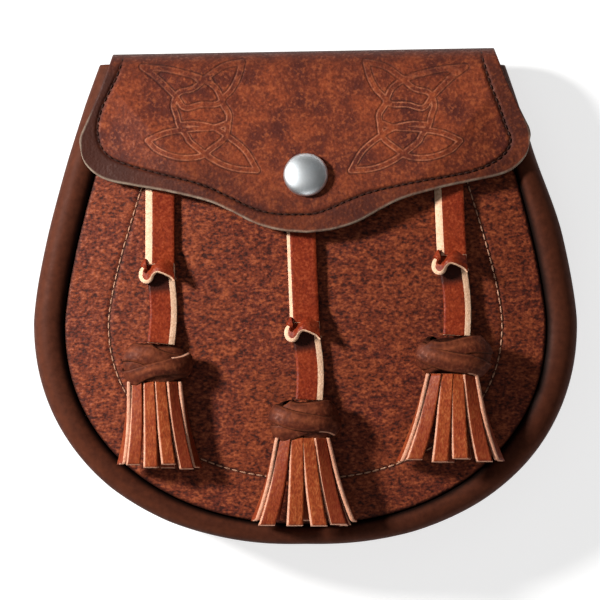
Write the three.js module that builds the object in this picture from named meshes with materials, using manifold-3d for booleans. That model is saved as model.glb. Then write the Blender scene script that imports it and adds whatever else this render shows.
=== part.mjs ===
// Leather sporran pouch, lying on its back with the front up.
// Millimetres; +Z up out of the front, +Y towards the pouch's top, X across it.
// The origin is under the middle of the whole outline, on the surface it rests on.
import * as THREE from 'three';
import * as BufferGeometryUtils from 'three/addons/utils/BufferGeometryUtils.js';
import Module from 'manifold-3d';

const wasm = await Module();
wasm.setup();

// Driving dimensions
const bodyWidth = 190.6;          // over the rolled gusset, at the widest line
const bodyHeight = 174;           // from the gusset's lowest point to the highest corner of the fold
const widestFromBottom = 77;      // the widest line above the lowest point
const shoulderTaper = 22;         // how far each side draws in from the widest line to the mouth
const taperPower = 1.4;           // how late the sides draw in
const roundness = 2.15;           // 2 is an ellipse below the widest line, more is squarer
const leatherGap = 0.3;           // clearance left between touching pieces
const fitGap = 0.45;              // clearance under and over the straps

const gussetSide = 11;            // how far the rolled gusset stands out at the sides
const gussetBottom = 7;           // and along the bottom
const gussetWall = 2;
const gussetEndDrop = 8;          // the gusset's ends below the top of the fold
const seamTurn = 140;             // degrees each roll turns through, from the side to its seam
const depthBottom = 36;           // crest to crest of the gusset at the bottom
const depthMouth = 22;            // front crest above the rest plane at the mouth
const mouthLift = 4;              // the back crest rises this much at the mouth
const mouthLiftLength = 20;

const panelWall = 2.4;
const frontCrown = 5;             // the front panel's middle above the gusset's crest
const frontEdgeDrop = 16;         // front panel's top edge below the top of the fold
const backDish = 10.5;            // the back panel is hollowed to lie against the wearer
const backEdgeDrop = 11;          // back panel's top edge below the top of the fold
const crownPower = 2.2;
const crownMiddleDrop = 91;       // the crown's middle below the top of the fold

const flapWall = 2.6;
const flapWidth = 158;            // at its widest, just above the lower corners
const flapTopWidth = 134;         // at the fold
const flapLength = 64.5;          // from the fold down to the end of the tongue
const flapFoldDepth = 11;         // the fold's reach from its middle to the top
const flapFoldPower = 2.4;        // 2 is a round fold, more is squarer
const flapSidePower = 1.2;
const flapTurn = 1;               // degrees the flap is turned on the pouch
const flapTurnDrop = 40;          // the turn's middle below the fold
const flapOverRim = 0.7;          // the flap's least height over the gusset's crest
const flapLift = 9.4;             // how much higher it lies over the panel's middle
const flapEase = 0.12;            // softness of the flap's droop over the rim
const flapLapWidth = 112;         // the lap sewn to the back panel
const flapLapLength = 18;

const loopWidth = 55;
const loopWall = 2.2;
const loopTopDrop = 34;           // the loop's upper end below the top of the fold
const loopLength = 45;
const loopSewn = 5;               // sewn length at each end
const loopRamp = 5;

const snapDiameter = 15.5;
const snapHeight = 4.2;
const snapRim = 1.1;
const snapFromTongue = 19.3;      // the snap's middle above the end of the tongue
const strapFromSocket = 5.9;      // the middle strap's top below the snap's socket
const snapStem = 4.8;
const snapSocket = 12;
const snapSocketHeight = 2.4;
const socketFlangeWall = 0.9;

const strapWidth = 10.2;
const strapWall = 2.5;
const strapBend = 1.4;            // radius of the strap's middle line in its curled fold
const foldOverlap = 5;            // length of the folded layers
const foldRamp = 10;              // length over which the strap climbs over its fold
const knotSeat = 2.4;             // how far the strap's end climbs towards the knot

const knotDepth = 12.6;
const knotRelief = 0.9;
const stripWall = 2.1;
const stripCount = 10;
const skirtTopDepth = 9.6;
const skirtEndDepth = 12.2;
const coreShare = 0.5;            // length of the tassel's fused core, as a share of its strips

// One row for each tassel, in shares: x of half the front panel's width, y of half the height,
// and the knot's and skirt's widths of the strap's width
const tassels = [
  { side: 'left', strapX: -0.603, endX: -0.6, topY: 0.66, lipY: 0.055, knotX: -0.62,
    knotTopY: -0.2, knotLength: 0.156, knotWide: 2.45, skirtX: -0.602, skirtEndY: -0.69,
    skirtTop: 2.02, skirtEnd: 2.95 },
  { side: 'middle', strapX: -0.021, endX: 0.01, lipY: -0.178, knotX: -0.012,
    knotTopY: -0.424, knotLength: 0.154, knotWide: 2.5, skirtX: -0.004, skirtEndY: -0.914,
    skirtTop: 2.02, skirtEnd: 3.84 },
  { side: 'right', strapX: 0.585, endX: 0.618, topY: 0.66, lipY: 0.09, knotX: 0.602,
    knotTopY: -0.168, knotLength: 0.156, knotWide: 2.69, skirtX: 0.595, skirtEndY: -0.664,
    skirtTop: 1.92, skirtEnd: 3.77 },
];

// The flap's lower edge, from its middle to its widest point:
// across in shares of half its width, down in shares of its length
const flapEdge = [
  { across: 0, down: 1 },
  { across: 0.115, down: 0.985 },
  { across: 0.225, down: 0.945 },
  { across: 0.33, down: 0.878 },
  { across: 0.43, down: 0.822 },
  { across: 0.6, down: 0.767 },
  { across: 0.76, down: 0.728 },
  { across: 0.87, down: 0.698 },
  { across: 0.935, down: 0.655 },
  { across: 0.982, down: 0.585 },
  { across: 1, down: 0.487 },
];

// Strip ends: how much longer or shorter each strip is, in shares of the skirt's length
const stripEnds = [0, -0.03, 0.02, -0.02, 0.03, 0, -0.04, 0.01, -0.03, 0.02];

// Sizes worked out from the ones above
const halfHeight = bodyHeight / 2;
const flapAngle = THREE.MathUtils.degToRad(flapTurn);
const foldY = halfHeight - (flapTopWidth / 2) * Math.sin(flapAngle);
const bottomY = -halfHeight;
const widestY = bottomY + widestFromBottom;
const gussetEndY = foldY - gussetEndDrop;
const frontTopY = foldY - frontEdgeDrop;
const backTopY = foldY - backEdgeDrop;
const crownY = foldY - crownMiddleDrop;
const panelHalfWidth = bodyWidth / 2 - gussetSide;
const panelDrop = widestFromBottom - gussetBottom;
const seamAngle = THREE.MathUtils.degToRad(seamTurn);
const flapBendY = foldY - flapFoldDepth;

// Seam outline: half width of the panels at a height
function panelHalfAt(y) {
  if (y >= widestY) {
    const share = (y - widestY) / (gussetEndY - widestY);
    return panelHalfWidth - shoulderTaper * share ** taperPower;
  }
  const share = Math.min((widestY - y) / panelDrop, 1);
  return panelHalfWidth * (1 - share ** roundness) ** (1 / roundness);
}

// Seam points from the right end of the mouth, round the bottom, to its left end
function seamPath(topY, sideSteps, bottomSteps) {
  const points = [];
  for (let i = 0; i < sideSteps; i += 1) {
    const y = topY + ((widestY - topY) * i) / sideSteps;
    points.push(new THREE.Vector2(panelHalfAt(y), y));
  }
  for (let i = 0; i <= bottomSteps; i += 1) {
    const angle = (Math.PI * i) / bottomSteps;
    const across = Math.sign(Math.cos(angle)) * Math.abs(Math.cos(angle)) ** (2 / roundness);
    const down = Math.sin(angle) ** (2 / roundness);
    points.push(new THREE.Vector2(panelHalfWidth * across, widestY - panelDrop * down));
  }
  for (let i = 1; i <= sideSteps; i += 1) {
    const y = widestY + ((topY - widestY) * i) / sideSteps;
    points.push(new THREE.Vector2(-panelHalfAt(y), y));
  }
  return points;
}

// 0 at the crown's middle, 1 on the panel's edge, more beyond it
function edgeShare(x, y, topY) {
  let low = 0.001;
  let high = 4;
  for (let i = 0; i < 26; i += 1) {
    const share = (low + high) / 2;
    const edgeX = x / share;
    const edgeY = crownY + (y - crownY) / share;
    const inside = edgeY < topY && edgeY > widestY - panelDrop
      && Math.abs(edgeX) < panelHalfAt(edgeY);
    if (inside) high = share;
    else low = share;
  }
  return high;
}

// Gusset sizes at a place whose outward direction has this sideways part
function rollRadius(sideways) {
  const bulge = gussetBottom + (gussetSide - gussetBottom) * Math.abs(sideways);
  return (bulge - leatherGap) / (1 - Math.cos(seamAngle));
}

function seamDip(sideways) {
  return rollRadius(sideways) * (1 - Math.sin(seamAngle));
}

function frontCrestAt(y) {
  const share = (gussetEndY - y) / (gussetEndY - bottomY);
  return depthMouth + (depthBottom - depthMouth) * share;
}

function backCrestAt(y) {
  const share = (y - gussetEndY) / mouthLiftLength + 1;
  return mouthLift * THREE.MathUtils.smoothstep(share, 0, 1);
}

// Upper face of the front panel
function frontAt(x, y) {
  const share = edgeShare(x, y, frontTopY);
  const sideways = x / Math.max(Math.hypot(x, y - crownY), 0.001);
  const crown = frontCrown * (1 - share ** crownPower);
  return frontCrestAt(y) - seamDip(sideways) * share ** 2 + crown;
}

// Outer face, the lower one, of the back panel
function backAt(x, y) {
  const share = edgeShare(x, y, backTopY);
  const sideways = x / Math.max(Math.hypot(x, y - crownY), 0.001);
  const dish = backDish * (1 - Math.min(share, 1) ** crownPower);
  return backCrestAt(y) + seamDip(sideways) * share ** 2 + dish;
}

// Under face of the flap's front, lying on the straps and over the gusset's crest
function flapUnderAt(x, y) {
  const fall = 1 - edgeShare(x, y, frontTopY) ** crownPower;
  const lift = (fall + Math.hypot(fall, flapEase)) / 2;
  return frontCrestAt(y) + flapOverRim + flapLift * lift;
}

// What lies on the front rests on the panel, or on the gusset's crest past its edge
function seatAt(x, y) {
  const share = edgeShare(x, y, frontTopY);
  const over = THREE.MathUtils.smoothstep(share, 0.8, 1);
  return Math.max(frontAt(x, y), frontCrestAt(y) * over);
}

// Closed bodies from rows of points
function solidFrom(positions, indices) {
  let geometry = new THREE.BufferGeometry();
  geometry.setAttribute('position', new THREE.Float32BufferAttribute(positions, 3));
  geometry.setIndex(indices);
  geometry = BufferGeometryUtils.mergeVertices(geometry, 1e-4);
  const found = geometry.getIndex().array;
  const kept = [];
  for (let i = 0; i < found.length; i += 3) {
    const [a, b, c] = [found[i], found[i + 1], found[i + 2]];
    if (a !== b && b !== c && c !== a) kept.push(a, b, c);
  }
  const place = geometry.getAttribute('position');
  const [p, q, r] = [new THREE.Vector3(), new THREE.Vector3(), new THREE.Vector3()];
  let volume = 0;
  for (let i = 0; i < kept.length; i += 3) {
    p.fromBufferAttribute(place, kept[i]);
    q.fromBufferAttribute(place, kept[i + 1]);
    r.fromBufferAttribute(place, kept[i + 2]);
    volume += p.dot(q.cross(r));
  }
  if (volume < 0) kept.reverse();
  geometry.setIndex(kept);
  geometry.computeVertexNormals();
  return geometry;
}

// A sheet with thickness, from two faces given as the same rows and columns of points
function sheet(faceA, faceB, closedRound = false) {
  const rows = faceA.length;
  const columns = faceA[0].length;
  const positions = [];
  for (const face of [faceA, faceB]) {
    for (const row of face) for (const point of row) positions.push(point.x, point.y, point.z);
  }
  const at = (face, i, j) => face * rows * columns + i * columns + (j % columns);
  const indices = [];
  const quad = (a, b, c, d) => indices.push(a, b, c, a, c, d);
  const spans = closedRound ? columns : columns - 1;
  for (let i = 0; i < rows - 1; i += 1) {
    for (let j = 0; j < spans; j += 1) {
      quad(at(0, i, j), at(0, i, j + 1), at(0, i + 1, j + 1), at(0, i + 1, j));
      quad(at(1, i, j), at(1, i + 1, j), at(1, i + 1, j + 1), at(1, i, j + 1));
    }
  }
  for (let j = 0; j < spans; j += 1) {
    quad(at(0, 0, j), at(1, 0, j), at(1, 0, j + 1), at(0, 0, j + 1));
    const last = rows - 1;
    quad(at(0, last, j), at(0, last, j + 1), at(1, last, j + 1), at(1, last, j));
  }
  if (!closedRound) {
    const last = columns - 1;
    for (let i = 0; i < rows - 1; i += 1) {
      quad(at(0, i, 0), at(0, i + 1, 0), at(1, i + 1, 0), at(1, i, 0));
      quad(at(0, i, last), at(1, i, last), at(1, i + 1, last), at(0, i + 1, last));
    }
  }
  return solidFrom(positions, indices);
}

// A solid through rings of points, its two ends closed to the middle of the end rings
function loft(rings) {
  const columns = rings[0].length;
  const middle = (ring) => {
    const centre = new THREE.Vector3();
    for (const point of ring) centre.add(point);
    return centre.divideScalar(ring.length);
  };
  const start = new Array(columns).fill(middle(rings[0]));
  const end = new Array(columns).fill(middle(rings.at(-1)));
  const rows = [start, ...rings, end];
  const positions = [];
  for (const row of rows) for (const point of row) positions.push(point.x, point.y, point.z);
  const indices = [];
  for (let i = 0; i < rows.length - 1; i += 1) {
    for (let j = 0; j < columns; j += 1) {
      const a = i * columns + j;
      const b = i * columns + ((j + 1) % columns);
      indices.push(a, b, b + columns, a, b + columns, a + columns);
    }
  }
  return solidFrom(positions, indices);
}

// Joining and cutting
function toManifold(geometry) {
  let bare = geometry.index ? geometry.clone() : geometry;
  bare.deleteAttribute('normal');
  bare.deleteAttribute('uv');
  bare = BufferGeometryUtils.mergeVertices(bare, 1e-4);
  const vertProperties = new Float32Array(bare.getAttribute('position').array);
  const triVerts = new Uint32Array(bare.getIndex().array);
  return new wasm.Manifold(new wasm.Mesh({ numProp: 3, vertProperties, triVerts }));
}

function fromManifold(solid) {
  const mesh = solid.getMesh();
  const geometry = new THREE.BufferGeometry();
  const positions = new THREE.Float32BufferAttribute(mesh.vertProperties, 3);
  geometry.setAttribute('position', positions);
  geometry.setIndex(Array.from(mesh.triVerts));
  geometry.computeVertexNormals();
  return geometry;
}

// Panels
function panel(topY, lowerAt, upperAt) {
  const edge = seamPath(topY, 6, 30);
  const topSteps = 8;
  const corner = edge.at(-1);
  for (let i = 1; i < topSteps; i += 1) {
    edge.push(new THREE.Vector2(corner.x * (1 - (2 * i) / topSteps), topY));
  }
  const shares = [0, 0.3, 0.55, 0.75, 0.9, 1];
  const face = (heightAt) => shares.map((share) => edge.map((point) => {
    const x = point.x * share;
    const y = crownY + (point.y - crownY) * share;
    return new THREE.Vector3(x, y, heightAt(x, y));
  }));
  return sheet(face(lowerAt), face(upperAt), true);
}

function frontPanel() {
  return panel(frontTopY, (x, y) => frontAt(x, y) - panelWall, frontAt);
}

function backPanel() {
  return panel(backTopY, backAt, (x, y) => backAt(x, y) + panelWall);
}

// Gusset: a wall with a roll along the front seam and one along the back seam
function gusset() {
  const path = seamPath(gussetEndY, 6, 28);
  const arcSteps = 4;
  const angles = [];
  for (let i = 0; i <= arcSteps; i += 1) angles.push(seamAngle * (1 - i / arcSteps));
  const outer = [];
  const inner = [];
  path.forEach((point, i) => {
    const before = path[Math.max(i - 1, 0)];
    const after = path[Math.min(i + 1, path.length - 1)];
    const along = after.clone().sub(before).normalize();
    const outward = new THREE.Vector2(-along.y, along.x);
    const radius = rollRadius(outward.x);
    const middle = leatherGap - radius * Math.cos(seamAngle);
    const section = (size) => {
      const place = (angle, centreZ) => {
        const out = middle + size * Math.cos(angle);
        const x = point.x + outward.x * out;
        const y = Math.min(point.y + outward.y * out, gussetEndY);
        return new THREE.Vector3(x, y, centreZ + size * Math.sin(angle));
      };
      const front = angles.map((angle) => place(angle, frontCrestAt(point.y) - radius));
      const back = angles.map((angle) => place(-angle, backCrestAt(point.y) + radius));
      return [...front, ...back.reverse()];
    };
    outer.push(section(radius));
    inner.push(section(radius - gussetWall));
  });
  return sheet(outer, inner);
}

// Flap: lapped on the back panel, folded over the mouth, lying over the front
function flapColumns(steps) {
  const half = new THREE.SplineCurve(
    flapEdge.map((row) => new THREE.Vector2(row.across, row.down)),
  ).getPoints(steps);
  const left = half.slice(1).reverse().map((point) => new THREE.Vector2(-point.x, point.y));
  return [...left, ...half];
}

function flapHalfAt(y) {
  const widestDown = flapEdge.at(-1).down * flapLength;
  const share = THREE.MathUtils.clamp((foldY - y) / widestDown, 0, 1);
  return flapTopWidth / 2 + ((flapWidth - flapTopWidth) / 2) * share ** flapSidePower;
}

function turned(x, y) {
  const point = new THREE.Vector2(x, y);
  const middle = new THREE.Vector2(0, foldY - flapTurnDrop);
  return point.rotateAround(middle, flapAngle);
}

function flapSheet() {
  const columns = flapColumns(14);
  const [lapRows, foldRows, frontRows] = [1, 8, 7];
  const outer = [];
  const inner = [];
  for (let i = 0; i <= lapRows; i += 1) {
    const y = flapBendY - flapLapLength * (1 - i / lapRows);
    const points = columns.map((column) => {
      const x = (column.x * flapLapWidth) / 2;
      return new THREE.Vector3(x, y, backAt(x, y) - leatherGap);
    });
    inner.push(points);
    outer.push(points.map((point) => point.clone().setZ(point.z - flapWall)));
  }
  for (let i = 1; i < foldRows; i += 1) {
    const angle = Math.PI * (i / foldRows - 0.5);
    const turn = (Math.sin(angle) + 1) / 2;
    const out = Math.cos(angle) ** (2 / flapFoldPower);
    const up = Math.sign(Math.sin(angle)) * Math.abs(Math.sin(angle)) ** (2 / flapFoldPower);
    const follow = Math.min(2 * turn, 1);
    const foldHalf = flapHalfAt(flapBendY + flapFoldDepth * out);
    const halfWidth = THREE.MathUtils.lerp(flapLapWidth / 2, foldHalf, follow);
    const rowAt = (wall) => columns.map((column) => {
      const x = column.x * halfWidth;
      const lapX = (column.x * flapLapWidth) / 2;
      const frontX = column.x * flapHalfAt(flapBendY);
      const low = backAt(lapX, flapBendY) - leatherGap - flapWall;
      const high = flapUnderAt(frontX, flapBendY) + flapWall;
      const [middle, half] = [(low + high) / 2, (high - low) / 2];
      const y = flapBendY + (flapFoldDepth - wall) * out;
      const place = turned(x, y);
      const flat = THREE.MathUtils.lerp(y, place.y, follow);
      const side = THREE.MathUtils.lerp(x, place.x, follow);
      return new THREE.Vector3(side, flat, middle + (half - wall) * up);
    });
    outer.push(rowAt(0));
    inner.push(rowAt(flapWall));
  }
  for (let i = 0; i <= frontRows; i += 1) {
    const points = columns.map((column) => {
      const endY = foldY - column.y * flapLength;
      const y = THREE.MathUtils.lerp(flapBendY, endY, i / frontRows);
      const place = turned(column.x * flapHalfAt(y), y);
      return new THREE.Vector3(place.x, place.y, flapUnderAt(place.x, place.y));
    });
    inner.push(points);
    outer.push(points.map((point) => point.clone().setZ(point.z + flapWall)));
  }
  return sheet(outer, inner);
}

// Snap: where it sits, and which way its axis points
function snapFrame() {
  const place = turned(0, foldY - flapLength + snapFromTongue);
  const step = snapDiameter / 2;
  const slopeX = flapUnderAt(place.x + step, place.y) - flapUnderAt(place.x - step, place.y);
  const slopeY = flapUnderAt(place.x, place.y + step) - flapUnderAt(place.x, place.y - step);
  const axis = new THREE.Vector3(-slopeX, -slopeY, 2 * step).normalize();
  const base = new THREE.Vector3(place.x, place.y, flapUnderAt(place.x, place.y));
  return { axis, base };
}

// Lathe bodies stand along the snap's axis, heights measured from the flap's under face
function onSnapAxis(profile) {
  const points = profile.map(([radius, height]) => new THREE.Vector2(radius, height));
  const geometry = new THREE.LatheGeometry(points, 28);
  const { axis, base } = snapFrame();
  const turn = new THREE.Quaternion().setFromUnitVectors(new THREE.Vector3(0, 1, 0), axis);
  geometry.applyQuaternion(turn);
  geometry.translate(base.x, base.y, base.z);
  return solidFrom(
    Array.from(geometry.getAttribute('position').array),
    Array.from(geometry.getIndex().array),
  );
}

function panelUnderSnap() {
  const { base } = snapFrame();
  return frontAt(base.x, base.y) - base.z;
}

function snapCap() {
  const radius = snapDiameter / 2;
  const low = flapWall + leatherGap;
  const stem = snapStem / 2;
  const profile = [[0, panelUnderSnap() + snapSocketHeight + 2 * leatherGap]];
  profile.push([stem, profile[0][1]]);
  profile.push([stem, low]);
  profile.push([radius - snapRim / 2, low]);
  profile.push([radius, low + snapRim / 2]);
  profile.push([radius - snapRim / 3, low + snapRim]);
  const domeSteps = 6;
  for (let i = 1; i <= domeSteps; i += 1) {
    const angle = (Math.PI / 2) * (i / domeSteps);
    const across = (radius - snapRim / 3) * Math.cos(angle);
    const up = (snapHeight - snapRim) * Math.sin(angle) ** 0.9;
    profile.push([i === domeSteps ? 0 : across, low + snapRim + up]);
  }
  return onSnapAxis(profile);
}

function snapSocketPiece() {
  const low = panelUnderSnap() + leatherGap;
  const flange = low + socketFlangeWall;
  const high = low + snapSocketHeight;
  const neck = snapStem / 2 + 1;
  return onSnapAxis([[0, low], [snapSocket / 2, low], [snapSocket / 2, flange],
    [neck, flange], [neck, high], [0, high]]);
}

function flap() {
  const hole = onSnapAxis([[0, -flapWall], [snapStem / 2 + leatherGap, -flapWall],
    [snapStem / 2 + leatherGap, 2 * flapWall], [0, 2 * flapWall]]);
  return fromManifold(toManifold(flapSheet()).subtract(toManifold(hole)));
}

// Belt loop: a plain band sewn to the back panel at both ends, with its tunnel between them
function beltLoop() {
  const topY = foldY - loopTopDrop;
  const endY = topY - loopLength;
  const stops = [
    { y: topY, held: 1 },
    { y: topY - loopSewn, held: 1 },
    { y: topY - loopSewn - loopRamp / 2, held: 0.5 },
    { y: topY - loopSewn - loopRamp, held: 0 },
    { y: endY + loopSewn + loopRamp, held: 0 },
    { y: endY + loopSewn + loopRamp / 2, held: 0.5 },
    { y: endY + loopSewn, held: 1 },
    { y: endY, held: 1 },
  ];
  const columns = 6;
  const face = (rise) => stops.map((stop) => {
    const row = [];
    for (let j = 0; j <= columns; j += 1) {
      const x = loopWidth * (j / columns - 0.5);
      const sewn = backAt(x, stop.y) - leatherGap - loopWall;
      row.push(new THREE.Vector3(x, stop.y, sewn * stop.held + rise));
    }
    return row;
  });
  return sheet(face(0), face(loopWall));
}

// The middle strap has no topY of its own: it starts below the snap's socket
function strapTop(row) {
  const underSnap = snapFrame().base.y - snapSocket / 2 - strapFromSocket;
  return row.topY === undefined ? underSnap : row.topY * halfHeight;
}

// Straps: each comes from under the flap, curls over itself once and runs on to its knot
function strapLine(row) {
  const lipY = row.lipY * halfHeight;
  const low = fitGap + strapWall / 2;
  const middle = low + 2 * strapBend;
  const high = middle + 2 * strapBend;
  const backY = lipY + strapBend + foldOverlap;
  const line = [];
  const run = (fromY, toY, fromH, toH, steps) => {
    for (let i = 0; i <= steps; i += 1) {
      const share = i / steps;
      const h = fromH + (toH - fromH) * THREE.MathUtils.smoothstep(share, 0, 1);
      line.push(new THREE.Vector2(THREE.MathUtils.lerp(fromY, toY, share), h));
    }
  };
  const bend = (centreY, centreH, direction) => {
    for (let i = 1; i < 6; i += 1) {
      const angle = Math.PI * (0.5 - i / 6);
      const out = direction * strapBend * Math.cos(angle);
      line.push(new THREE.Vector2(centreY + out, centreH + strapBend * Math.sin(angle)));
    }
  };
  const rampEnd = backY + strapBend + strapWall / 2;
  run(strapTop(row), rampEnd + foldRamp, low, low, 5);
  run(rampEnd + foldRamp - 1, rampEnd, low, high, 6);
  run(lipY + 2 * strapBend, lipY + strapBend, high, high, 1);
  bend(lipY + strapBend, middle + strapBend, -1);
  run(lipY + strapBend, backY, middle, middle, 1);
  bend(backY, low + strapBend, 1);
  const knotY = row.knotTopY * halfHeight + leatherGap;
  run(backY, knotY + strapWidth, low, low, 5);
  run(knotY + strapWidth - 1, knotY, low, low + knotSeat, 4);
  return line;
}

function strap(row) {
  const line = strapLine(row);
  const [firstY, lastY] = [line[0].x, line.at(-1).x];
  const faces = [[], []];
  line.forEach((point, i) => {
    const before = line[Math.max(i - 1, 0)];
    const after = line[Math.min(i + 1, line.length - 1)];
    const along = after.clone().sub(before).normalize();
    const normal = new THREE.Vector2(along.y, -along.x);
    faces.forEach((face, k) => {
      const y = point.x + normal.x * strapWall * (k - 0.5);
      const h = point.y + normal.y * strapWall * (k - 0.5);
      const share = (point.x - firstY) / (lastY - firstY);
      const middleX = THREE.MathUtils.lerp(row.strapX, row.endX, share) * panelHalfWidth;
      face.push([-1, 0, 1].map((side) => {
        const x = middleX + (side * strapWidth) / 2;
        return new THREE.Vector3(x, y, frontAt(x, y) + h);
      }));
    });
  });
  return sheet(faces[0], faces[1]);
}

// Knots: flattened barrels with the relief of crossing wraps
function knotSeatZ(row) {
  const [topY, endY] = [row.knotTopY * halfHeight, (row.knotTopY - row.knotLength) * halfHeight];
  const x = row.knotX * panelHalfWidth;
  const highest = Math.max(frontAt(x, topY), frontAt(x, endY), seatAt(x, endY));
  return highest + knotDepth / 2 + knotRelief + leatherGap;
}

function knot(row) {
  const length = row.knotLength * halfHeight;
  const topY = row.knotTopY * halfHeight;
  const halfWidth = (row.knotWide * strapWidth) / 2;
  const z = knotSeatZ(row);
  const [ringSteps, roundSteps, wraps] = [8, 24, 4];
  const rings = [];
  for (let i = 0; i <= ringSteps; i += 1) {
    const share = i / ringSteps;
    const barrel = 0.8 + 0.2 * Math.sin(Math.PI * share) ** 0.7;
    const ring = [];
    for (let j = 0; j < roundSteps; j += 1) {
      const angle = (2 * Math.PI * j) / roundSteps;
      const crossing = Math.cos(wraps * angle) * Math.cos(2 * Math.PI * share);
      const relief = i === 0 || i === ringSteps ? 0 : knotRelief * crossing * 0.5;
      const x = (halfWidth * barrel + relief) * Math.cos(angle);
      const up = ((knotDepth / 2) * barrel + relief) * Math.sin(angle);
      ring.push(new THREE.Vector3(row.knotX * panelHalfWidth + x, topY - length * share, z + up));
    }
    rings.push(ring);
  }
  return loft(rings);
}

// Tassels: flat strips round a flattened cone, fused to a core under the knot
function tassel(row) {
  const startY = (row.knotTopY - row.knotLength) * halfHeight - leatherGap;
  const endY = row.skirtEndY * halfHeight;
  const length = startY - endY;
  const startZ = knotSeatZ(row);
  const endX = row.skirtX * panelHalfWidth;
  const endZ = seatAt(endX, endY) + skirtEndDepth / 2 + leatherGap + stripWall / 2;
  const place = (share, angle, inset) => {
    const halfX = THREE.MathUtils.lerp(row.skirtTop, row.skirtEnd, share) * strapWidth * 0.5;
    const halfZ = THREE.MathUtils.lerp(skirtTopDepth, skirtEndDepth, share) * 0.5;
    const flare = 1 - 0.06 * Math.sin(Math.PI * share);
    const x = THREE.MathUtils.lerp(row.knotX * panelHalfWidth, endX, share);
    const z = THREE.MathUtils.lerp(startZ, endZ, share);
    return new THREE.Vector3(
      x + (halfX - inset) * flare * Math.cos(angle),
      startY - length * share,
      z + (halfZ - inset) * flare * Math.sin(angle),
    );
  };
  const core = [];
  for (let i = 0; i <= 3; i += 1) {
    const ring = [];
    for (let j = 0; j < 12; j += 1) {
      const share = (i / 3) * coreShare;
      ring.push(place(share, (2 * Math.PI * j) / 12, stripWall * (0.7 + 0.6 * (i / 3))));
    }
    core.push(ring);
  }
  let solid = toManifold(loft(core));
  for (let k = 0; k < stripCount; k += 1) {
    const angle = Math.PI / 2 + (2 * Math.PI * (k + 0.5)) / stripCount;
    const reach = 1 + stripEnds[k % stripEnds.length];
    const halfTurn = (Math.PI / stripCount) * 0.98;
    const rings = [];
    for (let i = 0; i <= 3; i += 1) {
      const share = (i / 3) * reach;
      const spread = halfTurn * (1 - 0.2 * share);
      rings.push([
        place(share, angle - spread, 0),
        place(share, angle, 0),
        place(share, angle + spread, 0),
        place(share, angle + spread, stripWall),
        place(share, angle, stripWall),
        place(share, angle - spread, stripWall),
      ]);
    }
    solid = solid.add(toManifold(loft(rings)));
  }
  return fromManifold(solid);
}

// Finishes
const finishes = {
  panelLeather: { color: 0x7a3f2c, roughness: 0.6, metalness: 0 },
  flapLeather: { color: 0x8a4a32, roughness: 0.6, metalness: 0 },
  gussetLeather: { color: 0x4a2a20, roughness: 0.45, metalness: 0 },
  backLeather: { color: 0x5a3426, roughness: 0.65, metalness: 0 },
  strapLeather: { color: 0x963a1e, roughness: 0.4, metalness: 0 },
  knotLeather: { color: 0x55301f, roughness: 0.5, metalness: 0 },
  tasselLeather: { color: 0xa0502d, roughness: 0.5, metalness: 0 },
  satinNickel: { color: 0xb9bdbf, roughness: 0.3, metalness: 1 },
};

const sporran = new THREE.Group();

function addPiece(name, geometry, finish) {
  const mesh = new THREE.Mesh(geometry, new THREE.MeshStandardMaterial(finishes[finish]));
  mesh.name = name;
  sporran.add(mesh);
}

addPiece('back_panel', backPanel(), 'backLeather');
addPiece('gusset', gusset(), 'gussetLeather');
addPiece('front_panel', frontPanel(), 'panelLeather');
addPiece('flap', flap(), 'flapLeather');
addPiece('belt_loop', beltLoop(), 'backLeather');
addPiece('snap_cap', snapCap(), 'satinNickel');
addPiece('snap_socket', snapSocketPiece(), 'satinNickel');
for (const row of tassels) {
  addPiece(`strap_${row.side}`, strap(row), 'strapLeather');
  addPiece(`knot_${row.side}`, knot(row), 'knotLeather');
  addPiece(`tassel_${row.side}`, tassel(row), 'tasselLeather');
}

export default sporran;
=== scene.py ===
import math
import random

import bmesh
import bpy
import numpy as np
from mathutils import Matrix, Vector


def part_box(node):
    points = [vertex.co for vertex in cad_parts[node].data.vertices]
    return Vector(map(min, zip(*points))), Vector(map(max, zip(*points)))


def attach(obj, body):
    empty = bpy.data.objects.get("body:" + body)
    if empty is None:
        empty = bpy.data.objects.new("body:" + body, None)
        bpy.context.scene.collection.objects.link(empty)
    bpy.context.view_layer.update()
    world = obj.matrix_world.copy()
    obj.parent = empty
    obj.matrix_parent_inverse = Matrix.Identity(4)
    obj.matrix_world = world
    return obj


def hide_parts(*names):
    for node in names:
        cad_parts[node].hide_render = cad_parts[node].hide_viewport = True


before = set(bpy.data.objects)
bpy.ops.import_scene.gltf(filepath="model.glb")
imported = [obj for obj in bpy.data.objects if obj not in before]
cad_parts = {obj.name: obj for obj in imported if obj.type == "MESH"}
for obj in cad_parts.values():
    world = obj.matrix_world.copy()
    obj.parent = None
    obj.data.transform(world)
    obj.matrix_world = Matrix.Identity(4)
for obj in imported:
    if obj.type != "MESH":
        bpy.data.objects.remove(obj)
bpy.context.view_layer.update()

# Lengths below are millimetres, and MM turns them into Blender's metres
MM = 0.001


# Sizes of the pouch, taken from the frame where it holds them

def node_box(name):
    """A CAD node's lowest and highest corner, in millimetres."""
    low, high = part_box(name)
    return np.array(low) / MM, np.array(high) / MM


FRONT_LOW, FRONT_HIGH = node_box("front_panel")
LOOP_LOW, LOOP_HIGH = node_box("belt_loop")

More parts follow.
